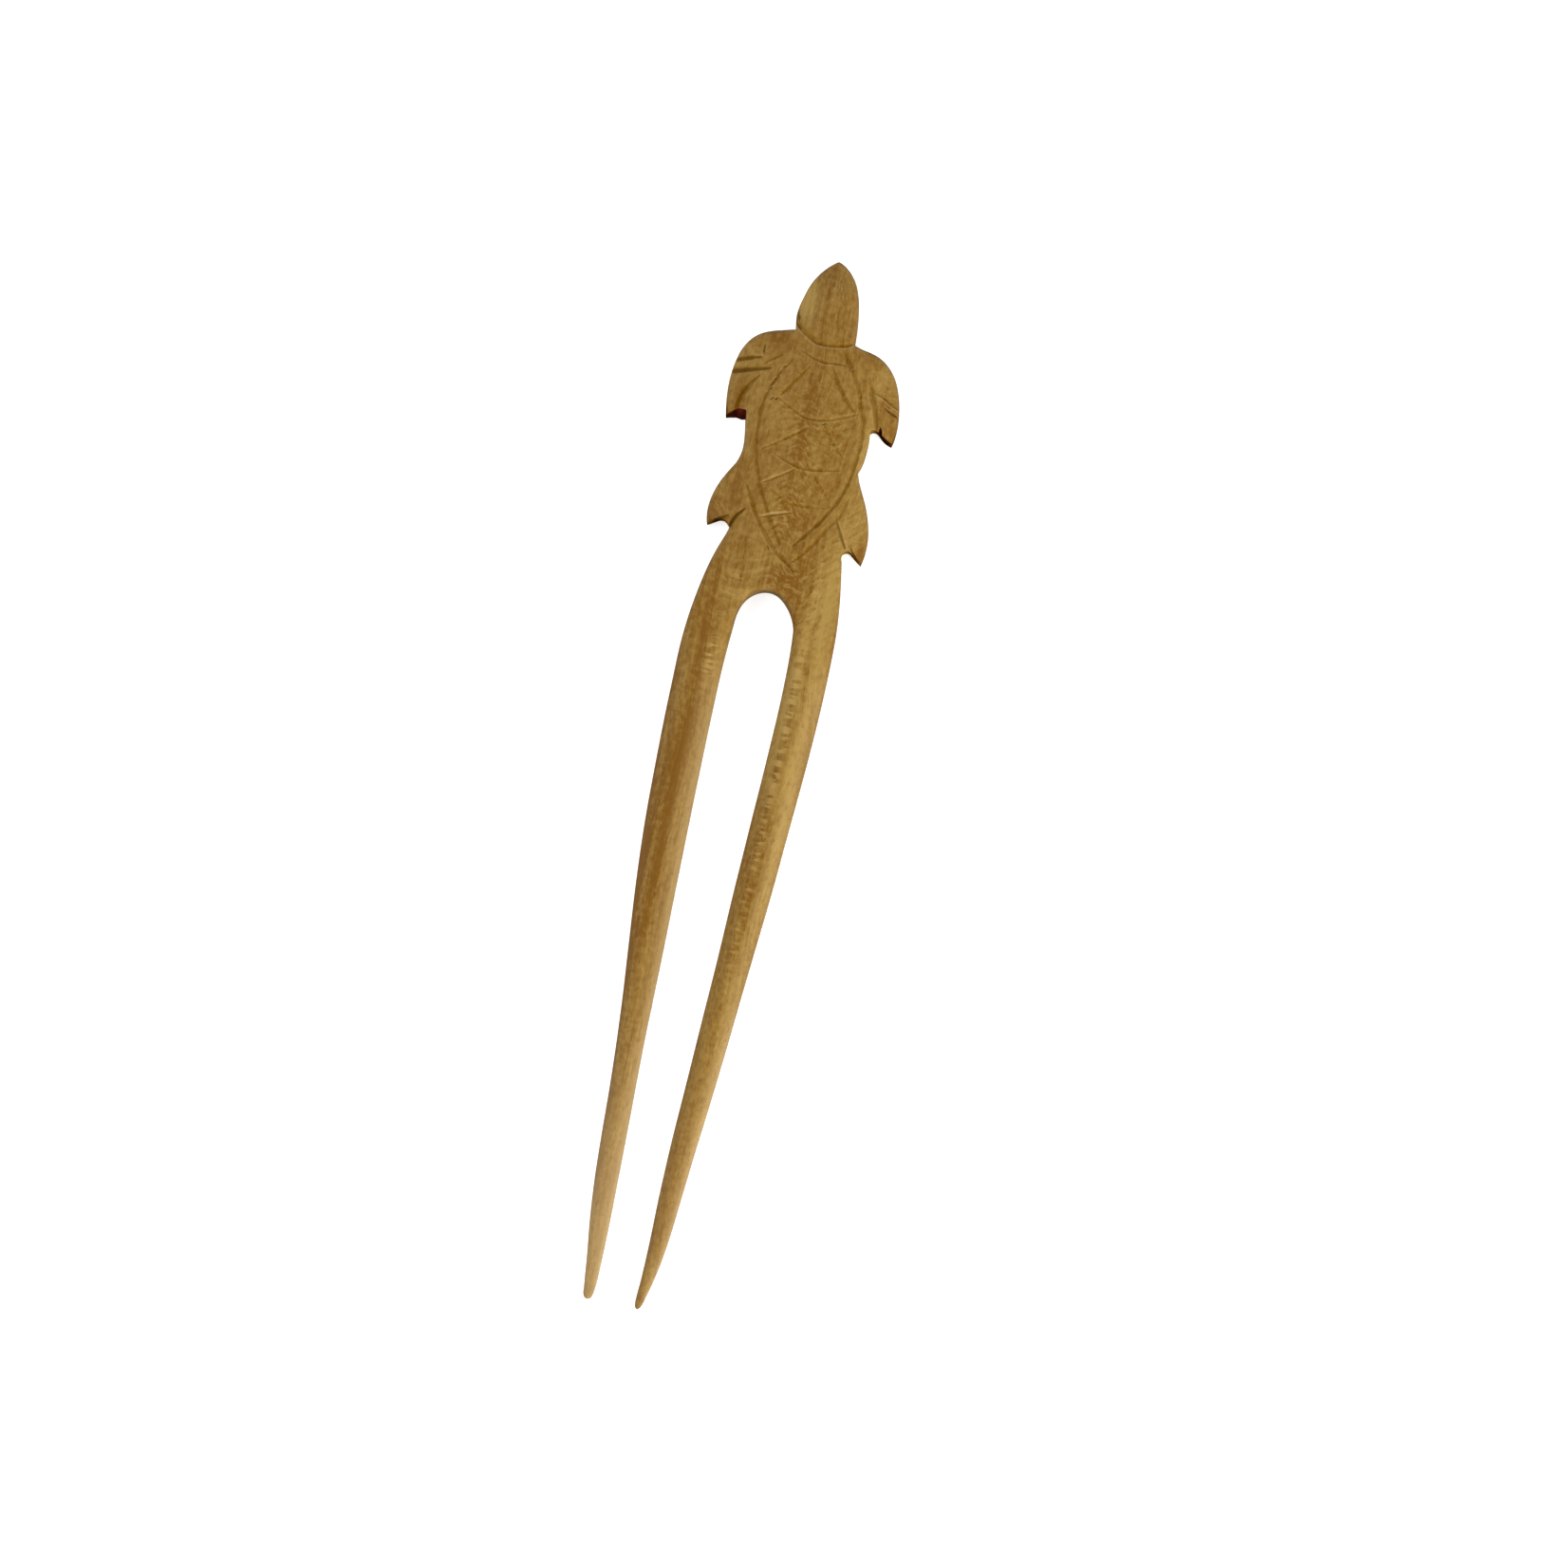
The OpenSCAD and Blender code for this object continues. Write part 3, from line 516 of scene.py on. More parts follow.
# Short ticks where the knife chattered over the rims, each from and to
chatter = [
    ((-6.9, 157.5), (-6.3, 158.2)), ((-6.6, 158.3), (-6.05, 158.9)), ((-6.1, 159.7), (-5.55, 159.2)),
    ((-5.75, 160), (-5.3, 160.4)), ((-5.5, 160.9), (-5, 161.2)), ((-7.3, 155.7), (-7, 156.3)),
    ((-6.5, 155), (-5.8, 155.6)), ((-5.7, 155.2), (-5, 155.7)), ((-6.9, 156.6), (-6.3, 157.2)),
    ((8, 158.6), (8.7, 158.9)), ((8.3, 157.6), (9, 158)), ((6, 162.4), (6.6, 162.9)),
    ((-1.7, 131), (-1.2, 130.2)), ((3.1, 152.7), (3.7, 153.1)),
]
carvedLines += [stroke(a, b, half=0.24, depth=0.26, dark=1.2, paleLeft=0.6) for a, b in chatter]


# Plan place of what the camera shows: drawn in towards the place under the camera, because the wood
# stands nearer to it than the height at which the plan's scale was read
def underCamera(seen):
    eye = np.array(plan["seenFrom"])
    place = np.asarray(seen, float)
    for again in range(3):  # its height hangs on where it is
        z = topHeight(place[:, 0], place[:, 1])[:, None]
        shrink = (plan["cameraHeight"] - z) / (plan["cameraHeight"] - plan["seenPlane"])
        place = eye + (np.asarray(seen, float) - eye) * shrink
    return place


# Where a stroke runs, and how hard the knife presses there: the root of the way from its end over the
# taper, times the tremble, times a wave where it skips
def strokePath(line, seed):
    path = underCamera(line["points"])
    reach = np.linalg.norm(np.diff(path, axis=0), axis=1).sum()
    path = smoothLine(path, max(6, int(reach / knife["step"])))
    along = np.linspace(0, reach, len(path))
    tremble = np.random.default_rng(seed).normal(0, knife["tremble"], len(path) // 4 + 3)
    uneven = 1 + np.interp(along, np.linspace(0, reach, len(tremble)), tremble)
    taper = min(knife["taper"], reach / 2)
    press = np.minimum(
        np.sqrt(np.clip(along / taper, 0, 1)) if line["fadeIn"] else 1,
        np.sqrt(np.clip((reach - along) / taper, 0, 1)) if line["fadeOut"] else 1) * np.ones(len(path))
    if line["skip"]:
        middle, swing = knife["skips"]
        press = press * (middle + swing * np.cos(2 * np.pi * along / line["skip"]))
    least = knife["leastPress"]
    return path, least + (1 - least) * press * uneven / uneven.max()


# Blade of one stroke: a blunt V carried along its path, that falls by depth * (1 - x^blunt) at the
# share x of the half width. Outside it a shallow trough leaves the lip standing.
def bladeMesh(name, line, seed):
    path, press = strokePath(line, seed)
    way = np.gradient(path, axis=0)
    way /= np.linalg.norm(way, axis=1)[:, None]
    aside = np.stack([-way[:, 1], way[:, 0]], -1)
    x = np.linspace(1, -1, knife["points"])
    fall = line["depth"] * (1 - abs(x)**knife["blunt"])
    wide = np.where(x > 0, line["left"], line["right"]) * line["half"]
    across, sink = x * wide * press[:, None], fall * press[:, None]
    out = np.array([1.0, 0.5, 0.2]) * knife["burrWidth"]  # past the lip: out of the wood, trough, crest
    dip = np.array([-0.5, 1.0, 0.25]) * knife["burr"]
    edge = np.ones((len(path), 1))
    across = np.hstack([across[:, :1] + out * edge, across, across[:, -1:] - out[::-1] * edge])
    sink = np.hstack([dip * press[:, None], sink + knife["lipDrop"], dip[::-1] * press[:, None]])
    places = path[:, None] + across[..., None] * aside[:, None]
    height = topHeight(places[..., 0], places[..., 1]) - sink
    rings = np.concatenate([places, height[..., None]], -1)
    peak = np.concatenate([path, height.max(1)[:, None] + knife["over"]], -1)[:, None]
    rings = np.concatenate([rings, peak, rings[:, :1]], axis=1)
    rows, columns = rings.shape[:2]
    body = gridQuads(rows, columns, 0)
    caps = [list(range(columns - 1)), [(rows - 1) * columns + k for k in range(columns - 1)]]
    inCut = np.zeros((rows - 1, columns - 1), np.int32)
    inCut[:, len(out):len(out) + len(x) - 1] = 1  # the slot of the rough wood
    mesh = meshFrom(name, rings.reshape(-1, 3), body.tolist() + caps)
    mesh.polygons.foreach_set("material_index", np.append(inCut.ravel(), [0, 0]).astype(np.int32))
    weld(mesh, knife["weldGap"])
    return mesh


print("stage: carving", len(carvedLines), "strokes")
blades = []
for number, line in enumerate(carvedLines):
    blade = newObject(f"blade{number}", bladeMesh(f"blade{number}", line, number))
    blades.append(blade)
    cut = carvedFork.modifiers.new(blade.name, "BOOLEAN")
    cut.operation, cut.solver, cut.object = "DIFFERENCE", "MANIFOLD", blade
cutMesh = bpy.data.meshes.new_from_object(
    carvedFork.evaluated_get(bpy.context.evaluated_depsgraph_get()))
carvedFork.modifiers.clear()
carvedFork.data = cutMesh
for blade in blades:
    bpy.data.objects.remove(blade)
bpy.data.meshes.remove(forkMesh)
cutMesh.name = "carvedFork"
cutMesh.shade_smooth()
cutMesh.set_sharp_from_angle(angle=math.radians(32))
print("carved:", len(cutMesh.vertices), "points,", len(cutMesh.polygons), "faces")

# The wood

# Patches on the plan, each [u, v, reach across, reach along, strength], soft like a bell. The pale ones
# along the prongs' right-hand edges are partly painted sheen.
tone = [  # browner where above 0, paler below
    # Head, shell and sides
    (2, 172, 2.2, 6, 0.15), (-3.2, 172, 1.6, 5, -0.9), (-5, 152, 2.5, 4, -0.2),
    (0.8, 150, 1.7, 16, 0.3), (10.9, 150, 0.8, 6, -0.6), (-8.6, 139, 0.9, 4, 0.5),
    (3, 133, 3, 5, 0.25),
    # Flippers
    (-7, 164.6, 2.6, 2, 0.45), (-11.8, 160, 2.4, 4, -0.25), (-11.2, 154, 1.6, 3, 0.35),
    (9.5, 164.6, 3, 1.8, 0.4), (12, 163, 3, 4, -0.4), (13.5, 155.5, 1.8, 2.5, 0.2),
    (14.3, 153.2, 1.3, 1.4, 0.2), (-11.8, 134, 1.2, 2, 0.5), (12.6, 138, 2.2, 5, -0.35),
    (13.9, 132.3, 1.2, 1.6, 0.6),
    # Round the arch
    (-5, 130, 2.5, 4, 0.1), (2, 125.3, 3.6, 1.9, 0.5), (10.8, 124, 1.6, 12, -0.6),
    (8.6, 122, 2.4, 6, -0.4), (5.6, 119, 1, 3.5, 0.3), (-9.5, 117, 1.6, 9, 0.35),
    # Left prong
    (-5.5, 105, 1.2, 20, -0.35), (-10.6, 104, 1.6, 10, -0.2), (-8.6, 98, 1.4, 9, 0.45),
    (-9.2, 88, 1, 6, 0.3), (-8.3, 80, 0.8, 16, 0.75), (-4.9, 72, 0.8, 14, -0.4),
    (-8.2, 68, 0.9, 10, 0.3), (-10.6, 68, 0.8, 12, 0.3), (-9.6, 60, 0.8, 6, 0.3),
    (-4.6, 45, 1, 16, -0.3), (-4.8, 20, 1.4, 5, 0.4), (-7.1, 20, 0.5, 6, 0.4),
    # Right prong
    (6.9, 102, 1, 16, -0.8), (10.8, 92, 1, 20, -1), (7.9, 84, 0.8, 12, 0.5),
    (7.3, 70, 0.8, 12, 0.5), (9.5, 66, 1, 20, -0.4), (8.9, 34, 1.4, 14, -0.3), (4.8, 6, 1, 3, -0.35),
]
shown = {  # how strongly each kind of mark shows
    "flecked": [  # the short flecks, where the rays are cut along their length
        (2.2, 125.5, 3.2, 3.5, 1), (8.6, 124, 3.2, 9, 1), (12.4, 136.5, 2.2, 5, 0.8),
        (1, 146, 3.4, 13, 0.7), (-7, 111, 0.9, 8, 0.4), (7.9, 108, 0.9, 9, 0.5),
        (7.7, 84, 0.75, 13, 0.5), (7.3, 64, 0.8, 8, 0.4), (0.5, 135, 2.6, 4, 0.8),
        (-11.3, 137, 1.6, 4, 0.4), (12.5, 160, 2.5, 4, 0.6), (-11, 162, 2, 3, 0.4),
        (-4.5, 152, 2.5, 5, 0.4), (6, 150, 2, 7, 0.5)],
    "rippled": [  # long low arcs
        (-5.6, 123.5, 4.2, 6, 1), (-4.5, 132.2, 2, 2, 0.5), (-1.5, 126.5, 3, 2.5, 0.6),
        (3.6, 133, 2, 3, 0.4)],
    "laddered": [  # pale rungs on the prongs
        (8, 110, 0.9, 8, 1), (8, 98, 0.8, 9, 1), (7.8, 82, 0.7, 11, 0.8),
        (7.2, 64, 0.7, 8, 0.6), (-6.9, 110.8, 0.85, 5, 1.2)],
    "silky": [  # pale hairlines along the grain
        (1.6, 173, 1.6, 4, 1), (-2.8, 172, 1.6, 5, 0.6), (1.6, 158, 1.2, 6, 0.8),
        (6.8, 152, 2.2, 9, 0.8), (12, 160, 3, 6, 0.6), (-11, 160, 3, 6, 0.4),
        (-8.4, 147, 1.2, 9, 0.6), (10.8, 146, 1.4, 9, 0.7), (12.4, 138, 2, 5, 0.5)],
}
leastShown = {"flecked": 0.1, "silky": 0.25}  # what these two come to everywhere
mostShown = 1.2
wallShadePatches = [  # painted shade on the steep walls at the notches and the head's lower-left bevel, over their darker end grain
    (-11.2, 151.6, 2.6, 1.4, 1.6), (14, 152.6, 1.7, 1.5, 1.6), (-11, 133.5, 1, 0.9, 0.8),
    (13.4, 132.2, 1.1, 1.1, 0.6), (-4.7, 168.9, 0.9, 1.4, 1),
]
redderWallShade = [(-10.7, 152.2, 0.8, 0.65, 0.95), (-12.3, 151.2, 0.5, 0.6, 0.3)]  # where that painted shade is redder

# Bands along the prongs, each [-1 for the left prong, 1 for the right one or 0 for both, shares of the
# half width over which it sets in, to the right if above 0, v over which it ends, strength]
paleAndSheenBands = [
    (-1, (-3, -2), (6, 58), 0.42), (1, (-3, -2), (6, 58), 0.12),  # paler ends with painted sheen, at their whole width
    (0, (0, 0.4), (106, 116), 0.12),  # painted sheen on the right-hand faces and edges
    (-1, (0.5, 0.95), (92, 114), 0.36), (1, (0.5, 0.95), (46, 60), 0.36),
]
# Browner outer edges next to the arch, strongest high on the wall: partly the wood's tone, partly painted
# shade
brownAndShadeBands = [(-1, (-0.65, -0.95), (104, 114), 0.5), (1, (0.65, 0.95), (104, 114), 0.2)]

# Noises along and across the grain: scale along x, y and z per mm, detail, roughness, shift
alongNoises = {
    "bands": ((0.55, 0.018, 0.2), 3, 0.6),
    "streaks": ((2.2, 0.12, 1.4), 3, 0.65, (7, 3, 0)),
    "fibres": ((4.6, 0.45, 4.0), 3, 0.7, (0, 9, 4)),
    "mottle": ((1.2, 1.0, 1.2), 3, 0.6, (3, 1, 8)),
    "silk": ((5.2, 0.3, 4.5), 2, 0.6, (1, 6, 2)),
    "pores": ((6.5, 0.7, 6.5), 1, 0.5, (5, 5, 5)),
    "rungs": ((0.25, 1.8, 0.25), 0, 0.5, (6, 1, 3)),
}
acrossNoises = {
    "flecks": ((0.9, 1.8, 0.9), 2, 0.55, (2, 0, 6)),
    "arcs": ((0.26, 1.15, 0.6), 2, 0.5, (4, 2, 0)),
}
# Marks on the wood, in the order in which they are laid: the noise, its values over which the mark
# sets in, where it shows, its tone, and its strength
marks = {
    "fleckMarks": ("flecks", 0.5, 0.7, "flecked", "rayTone", 0.42),
    "arcMarks": ("arcs", 0.47, 0.68, "rippled", "rayTone", 0.36),
    "rungMarks": ("rungs", 0.52, 0.6, "laddered", "rayTone", 0.6),
    "silkMarks": ("silk", 0.52, 0.7, "silky", "rayTone", 0.36),
    "poreMarks": ("pores", 0.62, 0.74, "pored", "poreTone", 0.5),
}
grain = {
    "paleWood": (0.231, 0.143, 0.0325, 1),
    "brownWood": (0.112, 0.046, 0.002, 1),
    "poreTone": (0.064, 0.024, 0.0015, 1),
    "rayTone": (0.290, 0.190, 0.054, 1),
    # painted shade in the cuts, and the darker tone of end grain
    "cutShadeAndEndGrainTone": (0.080, 0.029, 0.001, 1),
    "lipHighlightTone": (0.330, 0.225, 0.085, 1),  # painted highlight on the lips of a cut
    # painted shade on the steep walls at the notches and the head's lower-left bevel
    "wallShadeTone": (0.015, 0.003, 0.0005, 1),
    "redderWallShadeTone": (0.090, 0.012, 0.008, 1),  # where that painted wall shade is redder
    "paleAndSheenTone": (0.330, 0.230, 0.105, 1),  # paler wood at the prongs' ends, and painted sheen on their right-hand faces and edges
    "drift": ((0.05, 0.03, 0.05), 1),  # noise by which the grain swings to the side
    "driftReach": 5.0,  # and how far, in mm
    "streakStart": -1.15,  # what the streaks and bands are added to
    "streakBrown": {"streaks": 0.9, "bands": 1.4},
    "brownStart": -0.36,  # what those and the rest are added to
    "brown": {"tone": 0.8, "fibres": 0.8, "mottle": 1.2, "gaps": 0.35},
    "gapOver": (0.48, 0.32),  # the flecks' values over which the gaps between them darken
    "wobble": 1.2,  # mm by which the mottle bends the flecks and arcs
    "smile": (-5.6, 0.06),  # u of the hanging arcs' lowest point, and how fast they rise
    "smileEnd": (-1, 3),  # u over which they end
    "slant": (6, 0.9),  # u from which the flecks rise to the right, and how fast
    "slantOver": (4, 7),
    "bentOver": [(108, 116), (142, 166)],  # v over which both bends come, and over which they go
    "fewPores": 0.8,  # share of the pores that the turtle lacks
    "fewPoresOver": (104, 120),
    "calm": 0.5,  # share of the streaks that the shell lacks
    "calmOver": [(124, 136), (163, 168)],
    "footBrown": 0.3,  # share of a brown band that is left at the foot of the wall
    "wallOver": (0.3, 0.7),  # share of the height over which it grows
    "topShare": 0.45,  # share of the height above which the cuts' painted shade and highlight colour the wood
    "cutShadeShare": 0.4,  # how far a cut takes its painted shade
    "lipHighlightShare": 0.5,  # how far its lips take their painted highlight
    "endGrain": (0.45, 1.0, 0.0, 0.2),  # and a wall across the grain, by its normal
    "wallShadeOver": (0.66, 0.36),  # upward share of the normal over which walls take the painted wall shade
    "roughness": 0.42,  # before these are added
    "rough": {"fibres": 0.16, "fleckMarks": -0.08},
    "relief": {"poreMarks": -0.3, "fibres": 0.5, "flecks": 0.3, "streaks": 0.3},
    "bump": {"Strength": 0.4, "Distance": 0.00008},
    "gloss": 0.2,  # specular level of the smoothed wood
    "roughGloss": 0.0,  # and of the rough wood
    "crossSlope": 0.75,  # level share of the normal above which a wall may be rough
    "notchedFrom": 0.3,  # if it is as near to a notch
    "wallShadeFrom": 0.4,  # or as deep in the painted wall shade as this
}


def fromMesh(items, key):  # x, y and z of each item
    found = np.empty(len(items) * 3)
    items.foreach_get(key, found)
    return found.reshape(-1, 3).T


def toPlan(x, y, z):  # place in the frame to u, v and height
    return (x - middleX) / unit + plan["middleU"], (y - forkLow.y) / unit, (z - forkLow.z) / unit


def patchSum(patches, u, v):  # sum of strength * exp(-(du / reach)^2 - (dv / reach)^2)
    return sum(s * np.exp(-((u - a) / ru)**2 - ((v - b) / rv)**2) for a, b, ru, rv, s in patches)


def bandSum(bands, u, v):  # each rises with a plateau across the prong and ends with one along it
    mid, half = prongAcross(u, v)
    return sum(
        s * (u * side >= 0) * plateau(*over, (u - mid) / half) * (1 - plateau(*end, v))
        for side, over, end, s in bands)


# Painted shade in the cuts and painted highlight on their lips: for each stroke a bell over the distance
# from its middle, dark * exp(-peak (d / half)^2), and one past each lip, pale * exp(-((d - lip) /
# width)^2)
def strokeTones(u, v):
    dark, pale = np.zeros(len(u)), np.zeros(len(u))
    for number, line in enumerate(carvedLines):
        path, press = strokePath(line, number)
        low, high = path.min(0) - knife["toneReach"], path.max(0) + knife["toneReach"]
        near = np.flatnonzero((u > low[0]) & (u < high[0]) & (v > low[1]) & (v < high[1]))
        spots = np.stack([u[near], v[near]], -1)[:, None]
        along = np.diff(path, axis=0)
        t = np.clip(((spots - path[:-1]) * along).sum(2) / (along**2).sum(1), 0, 1)
        off = spots - path[:-1] - t[..., None] * along
        gap = np.linalg.norm(off, axis=2)
        best = gap.argmin(1)
        rows = np.arange(len(near))
        side = along[best, 0] * off[rows, best, 1] - along[best, 1] * off[rows, best, 0]
        d, push = gap[rows, best], press[best]
        half = line["half"] * push
        core = np.exp(-(d / half)**2 * knife["tonePeak"])
        dark[near] = np.maximum(dark[near], line["dark"] * push * core)
        past = d - half * np.where(side > 0, line["left"], line["right"]) - knife["lipPast"]
        lipPale = np.where(side > 0, line["paleLeft"], line["paleRight"])
        pale[near] = np.maximum(pale[near], lipPale * push * np.exp(-(past / knife["lipWidth"])**2))
    return dark, pale


# Values that the wood's colour follows, worked out at each point of the skin
def setWoodValues(mesh):
    u, v, height = toPlan(*fromMesh(mesh.vertices, "co"))
    top = topHeight(u, v)
    onTop = height > grain["topShare"] * top
    wall = grain["footBrown"] + (1 - grain["footBrown"]) * plateau(*grain["wallOver"], height / top)
    low, rise = grain["smile"]
    slantFrom, slant = grain["slant"]
    arcs = -rise * (u - low)**2 * (1 - plateau(*grain["smileEnd"], u))
    arcs -= slant * (u - slantFrom) * plateau(*grain["slantOver"], u)
    bent, calm = (
        plateau(*come, v) * (1 - plateau(*go, v)) for come, go in (grain["bentOver"], grain["calmOver"]))
    dark, pale = strokeTones(u, v)
    values = {
        # painted shade in the cuts and painted highlight on their lips, on the top only
        "carved": dark * onTop,
        "lipHighlight": pale * onTop,
        "wallShade": np.clip(patchSum(wallShadePatches, u, v), 0, 1),
        "redderWallShade": patchSum(redderWallShade, u, v),
        "tone": patchSum(tone, u, v) + bandSum(brownAndShadeBands, u, v) * wall,
        "pored": 1 - grain["fewPores"] * plateau(*grain["fewPoresOver"], v),
        "paleAndSheen": bandSum(paleAndSheenBands, u, v),
        "streaky": 1 - grain["calm"] * calm,
        "figure": arcs * bent,
    }
    for name, patches in shown.items():
        values[name] = np.clip(patchSum(patches, u, v) + leastShown.get(name, 0), 0, mostShown)
    for name, value in values.items():
        made = mesh.attributes.new(name, "FLOAT", "POINT")
        made.data.foreach_set("value", value.astype(np.float32))


class NodeBench:  # short ways to lay down a material's nodes
    def __init__(self, owner):
        self.tree = owner.node_tree

    def plug(self, made, sockets):  # links what is a socket, and sets what is a value
        for key, value in sockets.items():
            if isinstance(value, bpy.types.NodeSocket):
                self.tree.links.new(value, made.inputs[key])
            else:
                made.inputs[key].default_value = value

    def add(self, kind, sockets, **settings):
        made = self.tree.nodes.new(kind)
        for key, value in settings.items():
            setattr(made, key, value)
        self.plug(made, sockets)
        return made

    def maths(self, operation, a, b=0.0, c=0.0):
        return self.add("ShaderNodeMath", {0: a, 1: b, 2: c}, operation=operation).outputs[0]

    def ramp(self, value, low, high, toLow=0.0, toHigh=1.0):
        return self.add("ShaderNodeMapRange", {
            "Value": value, "From Min": low, "From Max": high, "To Min": toLow, "To Max": toHigh,
        }, interpolation_type="SMOOTHSTEP").outputs[0]

    def noise(self, place, stretch, detail, rough=0.5, shift=(0, 0, 0)):
        moved = self.add("ShaderNodeMapping", {"Vector": place, "Scale": stretch, "Location": shift})
        return self.add("ShaderNodeTexNoise", {
            "Vector": moved.outputs[0], "Scale": 1.0, "Detail": detail, "Roughness": rough,
        }).outputs["Fac"]

    def mix(self, share, a, b):
        return self.add("ShaderNodeMix", {0: share, 6: a, 7: b}, data_type="RGBA").outputs[2]

    def value(self, name):
        return self.add("ShaderNodeAttribute", {}, attribute_name=name).outputs["Fac"]

    def join(self, x, y, z):
        return self.add("ShaderNodeCombineXYZ", {0: x, 1: y, 2: z}).outputs[0]

    def part(self, vector):  # its x, y and z
        return self.add("ShaderNodeSeparateXYZ", {"Vector": vector}).outputs

    def total(self, start, shares, layers):  # start and each layer times its share
        for key, share in shares.items():
            start = self.maths("MULTIPLY_ADD", layers[key], share, start)
        return start


# The wood mixes its pale and brown tones by a sum of noises, patches and bands, and lays the marks
# over them one after another
def carvedWood(name, gloss):
    material = bpy.data.materials.new(name)
    material.use_nodes = True
    bench = NodeBench(material)
    shader = material.node_tree.nodes["Principled BSDF"]
    spot = bench.add("ShaderNodeTexCoord", {})
    inMm = bench.add(
        "ShaderNodeVectorMath", {0: spot.outputs["Object"], 1: (1000, 1000, 1000)}, operation="MULTIPLY")
    x, y, z = bench.part(inMm.outputs[0])
    swing = bench.noise(inMm.outputs[0], *grain["drift"])
    alongGrain = bench.join(bench.maths("MULTIPLY_ADD", swing, grain["driftReach"], x), y, z)
    layers = {key: bench.noise(alongGrain, *settings) for key, settings in alongNoises.items()}
    # Flecks and arcs lie across the grain, and follow the hanging and slanting figure
    bentY = bench.maths("ADD", y, bench.value("figure"))
    bentY = bench.maths("MULTIPLY_ADD", layers["mottle"], grain["wobble"], bentY)
    acrossGrain = bench.join(x, bentY, z)
    for key, settings in acrossNoises.items():
        layers[key] = bench.noise(acrossGrain, *settings)
    layers["tone"] = bench.value("tone")
    gaps = bench.ramp(layers["flecks"], *grain["gapOver"])
    layers["gaps"] = bench.maths("MULTIPLY", gaps, bench.value("flecked"))

    brown = bench.total(grain["streakStart"], grain["streakBrown"], layers)
    brown = bench.maths("MULTIPLY_ADD", brown, bench.value("streaky"), grain["brownStart"])
    brown = bench.total(brown, grain["brown"], layers)
    brown = bench.add("ShaderNodeClamp", {"Value": brown}).outputs[0]
    color = bench.mix(brown, grain["paleWood"], grain["brownWood"])
    # Paler ends of the prongs, and painted sheen on their right-hand faces and edges
    color = bench.mix(bench.value("paleAndSheen"), color, grain["paleAndSheenTone"])
    for key, (noise, low, high, place, tint, strength) in marks.items():
        layers[key] = bench.maths("MULTIPLY", bench.ramp(layers[noise], low, high), bench.value(place))
        color = bench.mix(bench.maths("MULTIPLY", layers[key], strength), color, grain[tint])
    # Painted shade in the cuts and painted highlight on their lips; end grain a little darker, and painted
    # shade darkest on the steep walls at the notches
    cut = bench.maths("MULTIPLY", bench.value("carved"), grain["cutShadeShare"])
    color = bench.mix(cut, color, grain["cutShadeAndEndGrainTone"])
    lips = bench.maths("MULTIPLY", bench.value("lipHighlight"), grain["lipHighlightShare"])
    color = bench.mix(lips, color, grain["lipHighlightTone"])
    facing = bench.part(spot.outputs["Normal"])
    endGrain = bench.ramp(bench.maths("ABSOLUTE", facing[1]), *grain["endGrain"])
    color = bench.mix(endGrain, color, grain["cutShadeAndEndGrainTone"])
    steep = bench.ramp(facing[2], *grain["wallShadeOver"])
    shadedWall = bench.mix(bench.value("redderWallShade"), grain["wallShadeTone"], grain["redderWallShadeTone"])
    color = bench.mix(bench.maths("MULTIPLY", steep, bench.value("wallShade")), color, shadedWall)

    rough = bench.total(grain["roughness"], grain["rough"], layers)
    relief = bench.total(0.0, grain["relief"], layers)
    bump = bench.add("ShaderNodeBump", {"Height": relief, **grain["bump"]})
    bench.plug(shader, {"Base Color": color, "Roughness": rough, "Normal": bump.outputs[0]})
    shader.inputs["Specular IOR Level"].default_value = gloss
    return material


# 1 for the faces of rough wood: those that the knife cut, and the steep ones at the notches and under
# the painted wall shade
def roughFaces(mesh):
    rough = np.empty(len(mesh.polygons), np.int32)
    mesh.polygons.foreach_get("material_index", rough)
    steep = np.hypot(*fromMesh(mesh.polygons, "normal")[:2]) > grain["crossSlope"]
    u, v = toPlan(*fromMesh(mesh.polygons, "center"))[:2]
    notched = notchBell(u, v) > grain["notchedFrom"]
    shadedWall = patchSum(wallShadePatches, u, v) > grain["wallShadeFrom"]
    rough[steep & (notched | shadedWall)] = 1
    return rough


print("stage: wood")
setWoodValues(cutMesh)
isRough = roughFaces(cutMesh)
cutMesh.materials.clear()
cutMesh.materials.append(carvedWood("smoothedWood", grain["gloss"]))
cutMesh.materials.append(carvedWood("roughWood", grain["roughGloss"]))
cutMesh.polygons.foreach_set("material_index", isRough)
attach(carvedFork, "root")
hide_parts("hair_fork")

# Floor, light and camera
studio = {
    "floorHalf": 2.0,  # m
    "floorTone": (0.5, 0.5, 0.5, 1),
    "floorRoughness": 0.9,
    "floorGlow": 0.72,  # keeps the floor white where no lamp reaches
    "wallTone": (1.0, 1.02, 1.05, 1),  # the white room, level with the fork
    "overheadTone": (0.5, 0.51, 0.53, 1),  # and above it, where the camera hangs
    "overheadOver": (0.45, 0.95),  # upward share of the way over which it changes to that
    "groundTone": (0.25, 0.23, 0.18, 1),  # what the rounded edges mirror from below
    "groundOver": (-0.12, -0.5),
    "lamps": {  # place, size in m, power in W, tone
        "keyLight": ((0.77, -0.36, 0.39), 0.35, 11.5, (1.0, 0.99, 0.97)),
        "fillLight": ((-0.6, 0.05, 0.8), 0.8, 8.0, (0.97, 0.98, 1.0)),
        "endLight": ((0.1, -0.9, 0.35), 0.4, 1.8, (1.0, 0.98, 0.95)),
    },
    "sensor": 36.0,
    "clipStart": 0.01,
}
floorMesh = bpy.data.meshes.new("floor")
far = studio["floorHalf"]
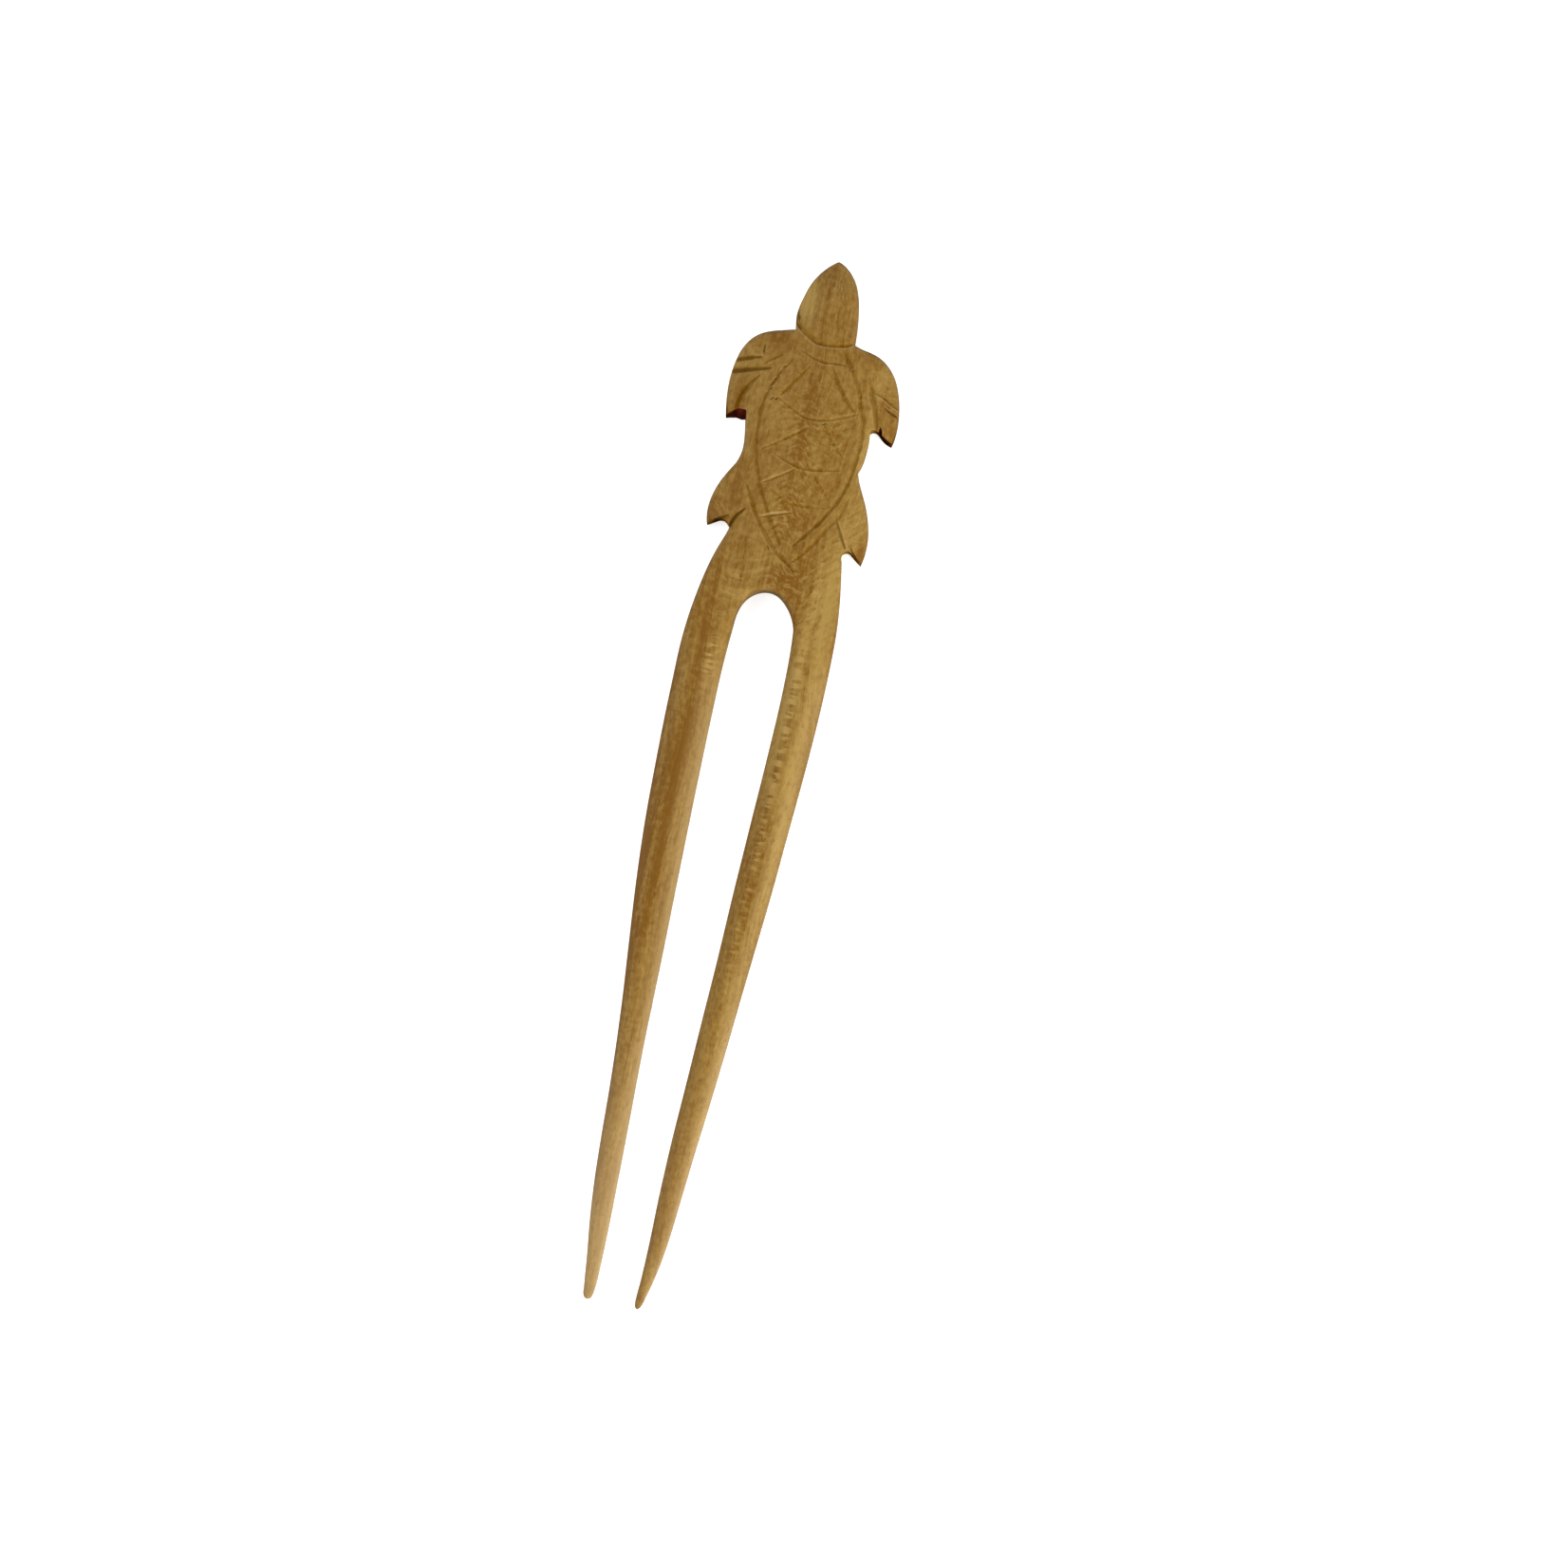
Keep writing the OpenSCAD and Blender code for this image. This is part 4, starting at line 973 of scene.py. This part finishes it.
floorMesh.from_pydata([(-far, -far, 0), (far, -far, 0), (far, far, 0), (-far, far, 0)], [], [(0, 1, 2, 3)])
floor = newObject("floor", floorMesh)
floorLook = bpy.data.materials.new("paleFloor")
floorLook.use_nodes = True
NodeBench(floorLook).plug(floorLook.node_tree.nodes["Principled BSDF"], {
    "Base Color": studio["floorTone"], "Roughness": studio["floorRoughness"],
    "Emission Color": (1, 1, 1, 1), "Emission Strength": studio["floorGlow"]})
floorMesh.materials.append(floorLook)
floor.visible_glossy = False  # the rounded edges mirror the darker ground of the world instead


# Area light aimed at the middle of the fork. It leaves no shine, which the white room gives by itself.
def softBox(name, place, size, power, tone):
    light = bpy.data.lights.new(name, "AREA")
    light.shape, light.size, light.energy, light.color = "DISK", size, power, tone
    lamp = newObject(name, light)
    lamp.location = place
    lamp.rotation_mode = "QUATERNION"
    lamp.rotation_quaternion = (-lamp.location).to_track_quat("-Z", "Y")
    lamp.visible_glossy = False


for name, settings in studio["lamps"].items():
    softBox(name, *settings)

world = bpy.data.worlds.new("studio")
bpy.context.scene.world = world
world.use_nodes = True
sky = NodeBench(world)
upward = sky.part(sky.add("ShaderNodeTexCoord", {}).outputs["Generated"])[2]
skyTone = sky.mix(sky.ramp(upward, *studio["overheadOver"]), studio["wallTone"], studio["overheadTone"])
skyTone = sky.mix(sky.ramp(upward, *studio["groundOver"]), skyTone, studio["groundTone"])
sky.plug(world.node_tree.nodes["Background"], {"Color": skyTone})

eyeU, eyeV = plan["seenFrom"]
camera = newObject("camera", bpy.data.cameras.new("camera"))
camera.location = toFrame(np.array(eyeU), np.array(eyeV), np.array(plan["cameraHeight"]))
camera.rotation_euler = (0, 0, math.radians(plan["lean"]))
camera.data.sensor_width = studio["sensor"]
camera.data.lens = studio["sensor"] * (plan["cameraHeight"] - plan["seenPlane"]) / plan["pictureWidth"]
camera.data.clip_start = studio["clipStart"]
bpy.context.scene.camera = camera
bpy.context.scene.view_settings.view_transform = "Standard"

print("stage: finish")
